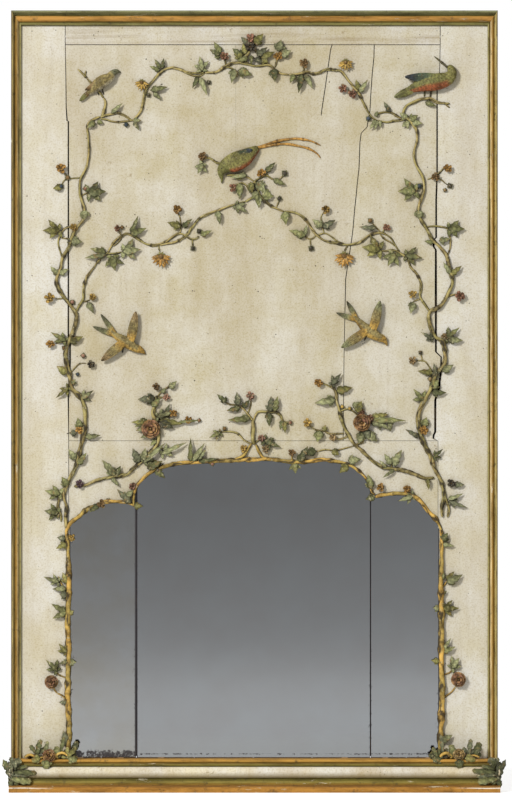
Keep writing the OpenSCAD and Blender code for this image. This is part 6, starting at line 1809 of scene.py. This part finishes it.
@dataclass
class Studio:
    """A pale floor, one large soft lamp, a glowing grey card for the mirrors' painted reflection, a plain
    white surround and the camera.
    """

    camera_distance: float = 20.0
    picture_height: float = 2.574
    look_x: float = 0.005
    look_z: float = 1.256
    sensor: float = 36.0
    clip_end: float = 80.0
    key_power: float = 2100.0
    key_size: float = 2.4
    key_place: tuple[float, float, float] = (-8.3, -11.5, 8.3)
    key_turn: tuple[float, float, float] = (63.5, 0.0, -35.8)
    ambient: float = 0.42
    floor_tone: str = "#F0F0EE"
    floor_half: float = 4.0
    floor_front: float = -3.2
    floor_back: float = 1.2
    card_half: float = 2.4
    card_distance: float = 20.4
    card_foot: float = -1.6
    card_head: float = 2.6
    card_shown: tuple[float, float] = (-0.87, 0.95)
    reflection_glow_tones: tuple[tuple[float, float], ...] = (
        (0.0, 0.84), (0.105, 0.9), (0.176, 0.76), (0.23, 0.61), (0.272, 0.51), (0.454, 0.44),
        (0.634, 0.376), (0.847, 0.32), (1.0, 0.312))

    def plate(self, name: str, corners: Sequence[tuple[float, float, float]],
              material: bpy.types.Material) -> bpy.types.Object:
        """Adds one four-cornered face that isn't part of the mirror.

        Args:
            name: Name of the face.
            corners: Its corners.
            material: Its finish.

        Returns:
            The face.
        """
        obj = new_object(name, corners, [(0, 1, 2, 3)], material)
        return obj

    def seen(self, s: Shader) -> bpy.types.Node:
        """Gives 1 for camera, mirror and glass rays, and 0 for the rays that light the object.

        Args:
            s: Shader that asks.

        Returns:
            The 1 or 0.
        """
        ray = s.add("LightPath").outputs
        both = s.add("Math", {0: ray["Is Camera Ray"], 1: ray["Is Glossy Ray"]}, operation="MAXIMUM")
        return s.add("Math", {0: both, 1: ray["Is Transmission Ray"]}, operation="MAXIMUM")

    def floor(self) -> None:
        """Lays the floor: nearly white, lifted a little for the camera so that it reads white."""
        s = Shader("matt white studio floor")
        camera = s.add("LightPath").outputs["Is Camera Ray"]
        glow = s.add("Math", {0: camera, 1: 0.4}, operation="MULTIPLY")
        glow = s.add("Math", {0: self.seen(s), 1: 0.18, 2: glow}, operation="MULTIPLY_ADD")
        surface = s.close(Base_Color=self.floor_tone, Roughness=0.9, Emission_Color=s.WHITE,
                          Emission_Strength=glow)
        half, front, back, z = self.floor_half, self.floor_front, self.floor_back, -MM / 2
        self.plate("floor", ((-half, front, z), (half, front, z), (half, back, z), (-half, back, z)),
                   surface)

    def card(self) -> None:
        """Hangs a glowing grey card, no lamp, that the mirror plates show as a painted reflection, white to
        the camera itself.
        """
        s = Shader("glowing grey card of painted reflection")
        height = s.add("SeparateXYZ").outputs["Z"]
        rise = s.add("MapRange", {"Value": height, "From Min": self.card_shown[0],
                                  "From Max": self.card_shown[1]})
        tone = s.add("ValToRGB", {"Fac": rise}, self.reflection_glow_tones)
        camera = s.add("LightPath").outputs["Is Camera Ray"]
        shown = s.add("Mix", {0: camera, 6: tone, 7: s.WHITE}, data_type="RGBA")
        power = s.add("MapRange", {"Value": camera, "To Min": 1.25, "To Max": 1.0})
        glow = s.add("Emission", {"Color": shown, "Strength": power})
        s.add("OutputMaterial", {"Surface": glow})
        half, y, foot, head = self.card_half, -self.card_distance, self.card_foot, self.card_head
        card = self.plate("reflection card", ((-half, y, foot), (half, y, foot), (half, y, head),
                                              (-half, y, head)), s.material)
        card.visible_diffuse = False
        card.visible_shadow = False

    def world(self) -> None:
        """Surrounds the object with white for the camera and a softer white as light."""
        s = Shader("plain white surround", True)
        level = s.add("Math", {0: self.seen(s), 1: 1 - self.ambient, 2: self.ambient},
                      operation="MULTIPLY_ADD")
        light = s.add("Background", {"Strength": level, "Color": s.WHITE})
        s.add("OutputWorld", {"Surface": light})
        bpy.context.scene.world = s.material

    def lamp(self) -> None:
        """Hangs the soft key lamp high at the left, in front."""
        data = bpy.data.lights.new("soft key", "AREA")
        data.energy, data.size = self.key_power, self.key_size
        lamp = bpy.data.objects.new("soft key", data)
        lamp.location = self.key_place
        lamp.rotation_euler = [math.radians(turn) for turn in self.key_turn]
        bpy.context.scene.collection.objects.link(lamp)

    def camera(self) -> None:
        """Sets the camera square to the front, far off, to show picture_height at the boards."""
        data = bpy.data.cameras.new("camera")
        data.sensor_fit, data.sensor_height = "VERTICAL", self.sensor
        data.lens = self.sensor * (self.camera_distance + PANEL_Y) / self.picture_height
        data.clip_end = self.clip_end
        camera = bpy.data.objects.new("camera", data)
        camera.location = (self.look_x, -self.camera_distance, self.look_z)
        camera.rotation_euler = (math.pi / 2, 0.0, 0.0)
        bpy.context.scene.collection.objects.link(camera)
        bpy.context.scene.camera = camera

    def build(self) -> None:
        """Sets up the whole studio."""
        for step in (self.floor, self.card, self.world, self.lamp, self.camera):
            step()
        bpy.context.scene.view_settings.view_transform = "Standard"


def main() -> None:
    """Builds and dresses the sub-assemblies in order."""
    logging.basicConfig(level=logging.INFO, format="%(message)s")
    for part in (Boards(), Mouldings(), Base(), Glass(), Back(), Carvings(), Studio()):
        log.info("%s", type(part).__name__)
        part.build()


if __name__ == "__main__":
    main()
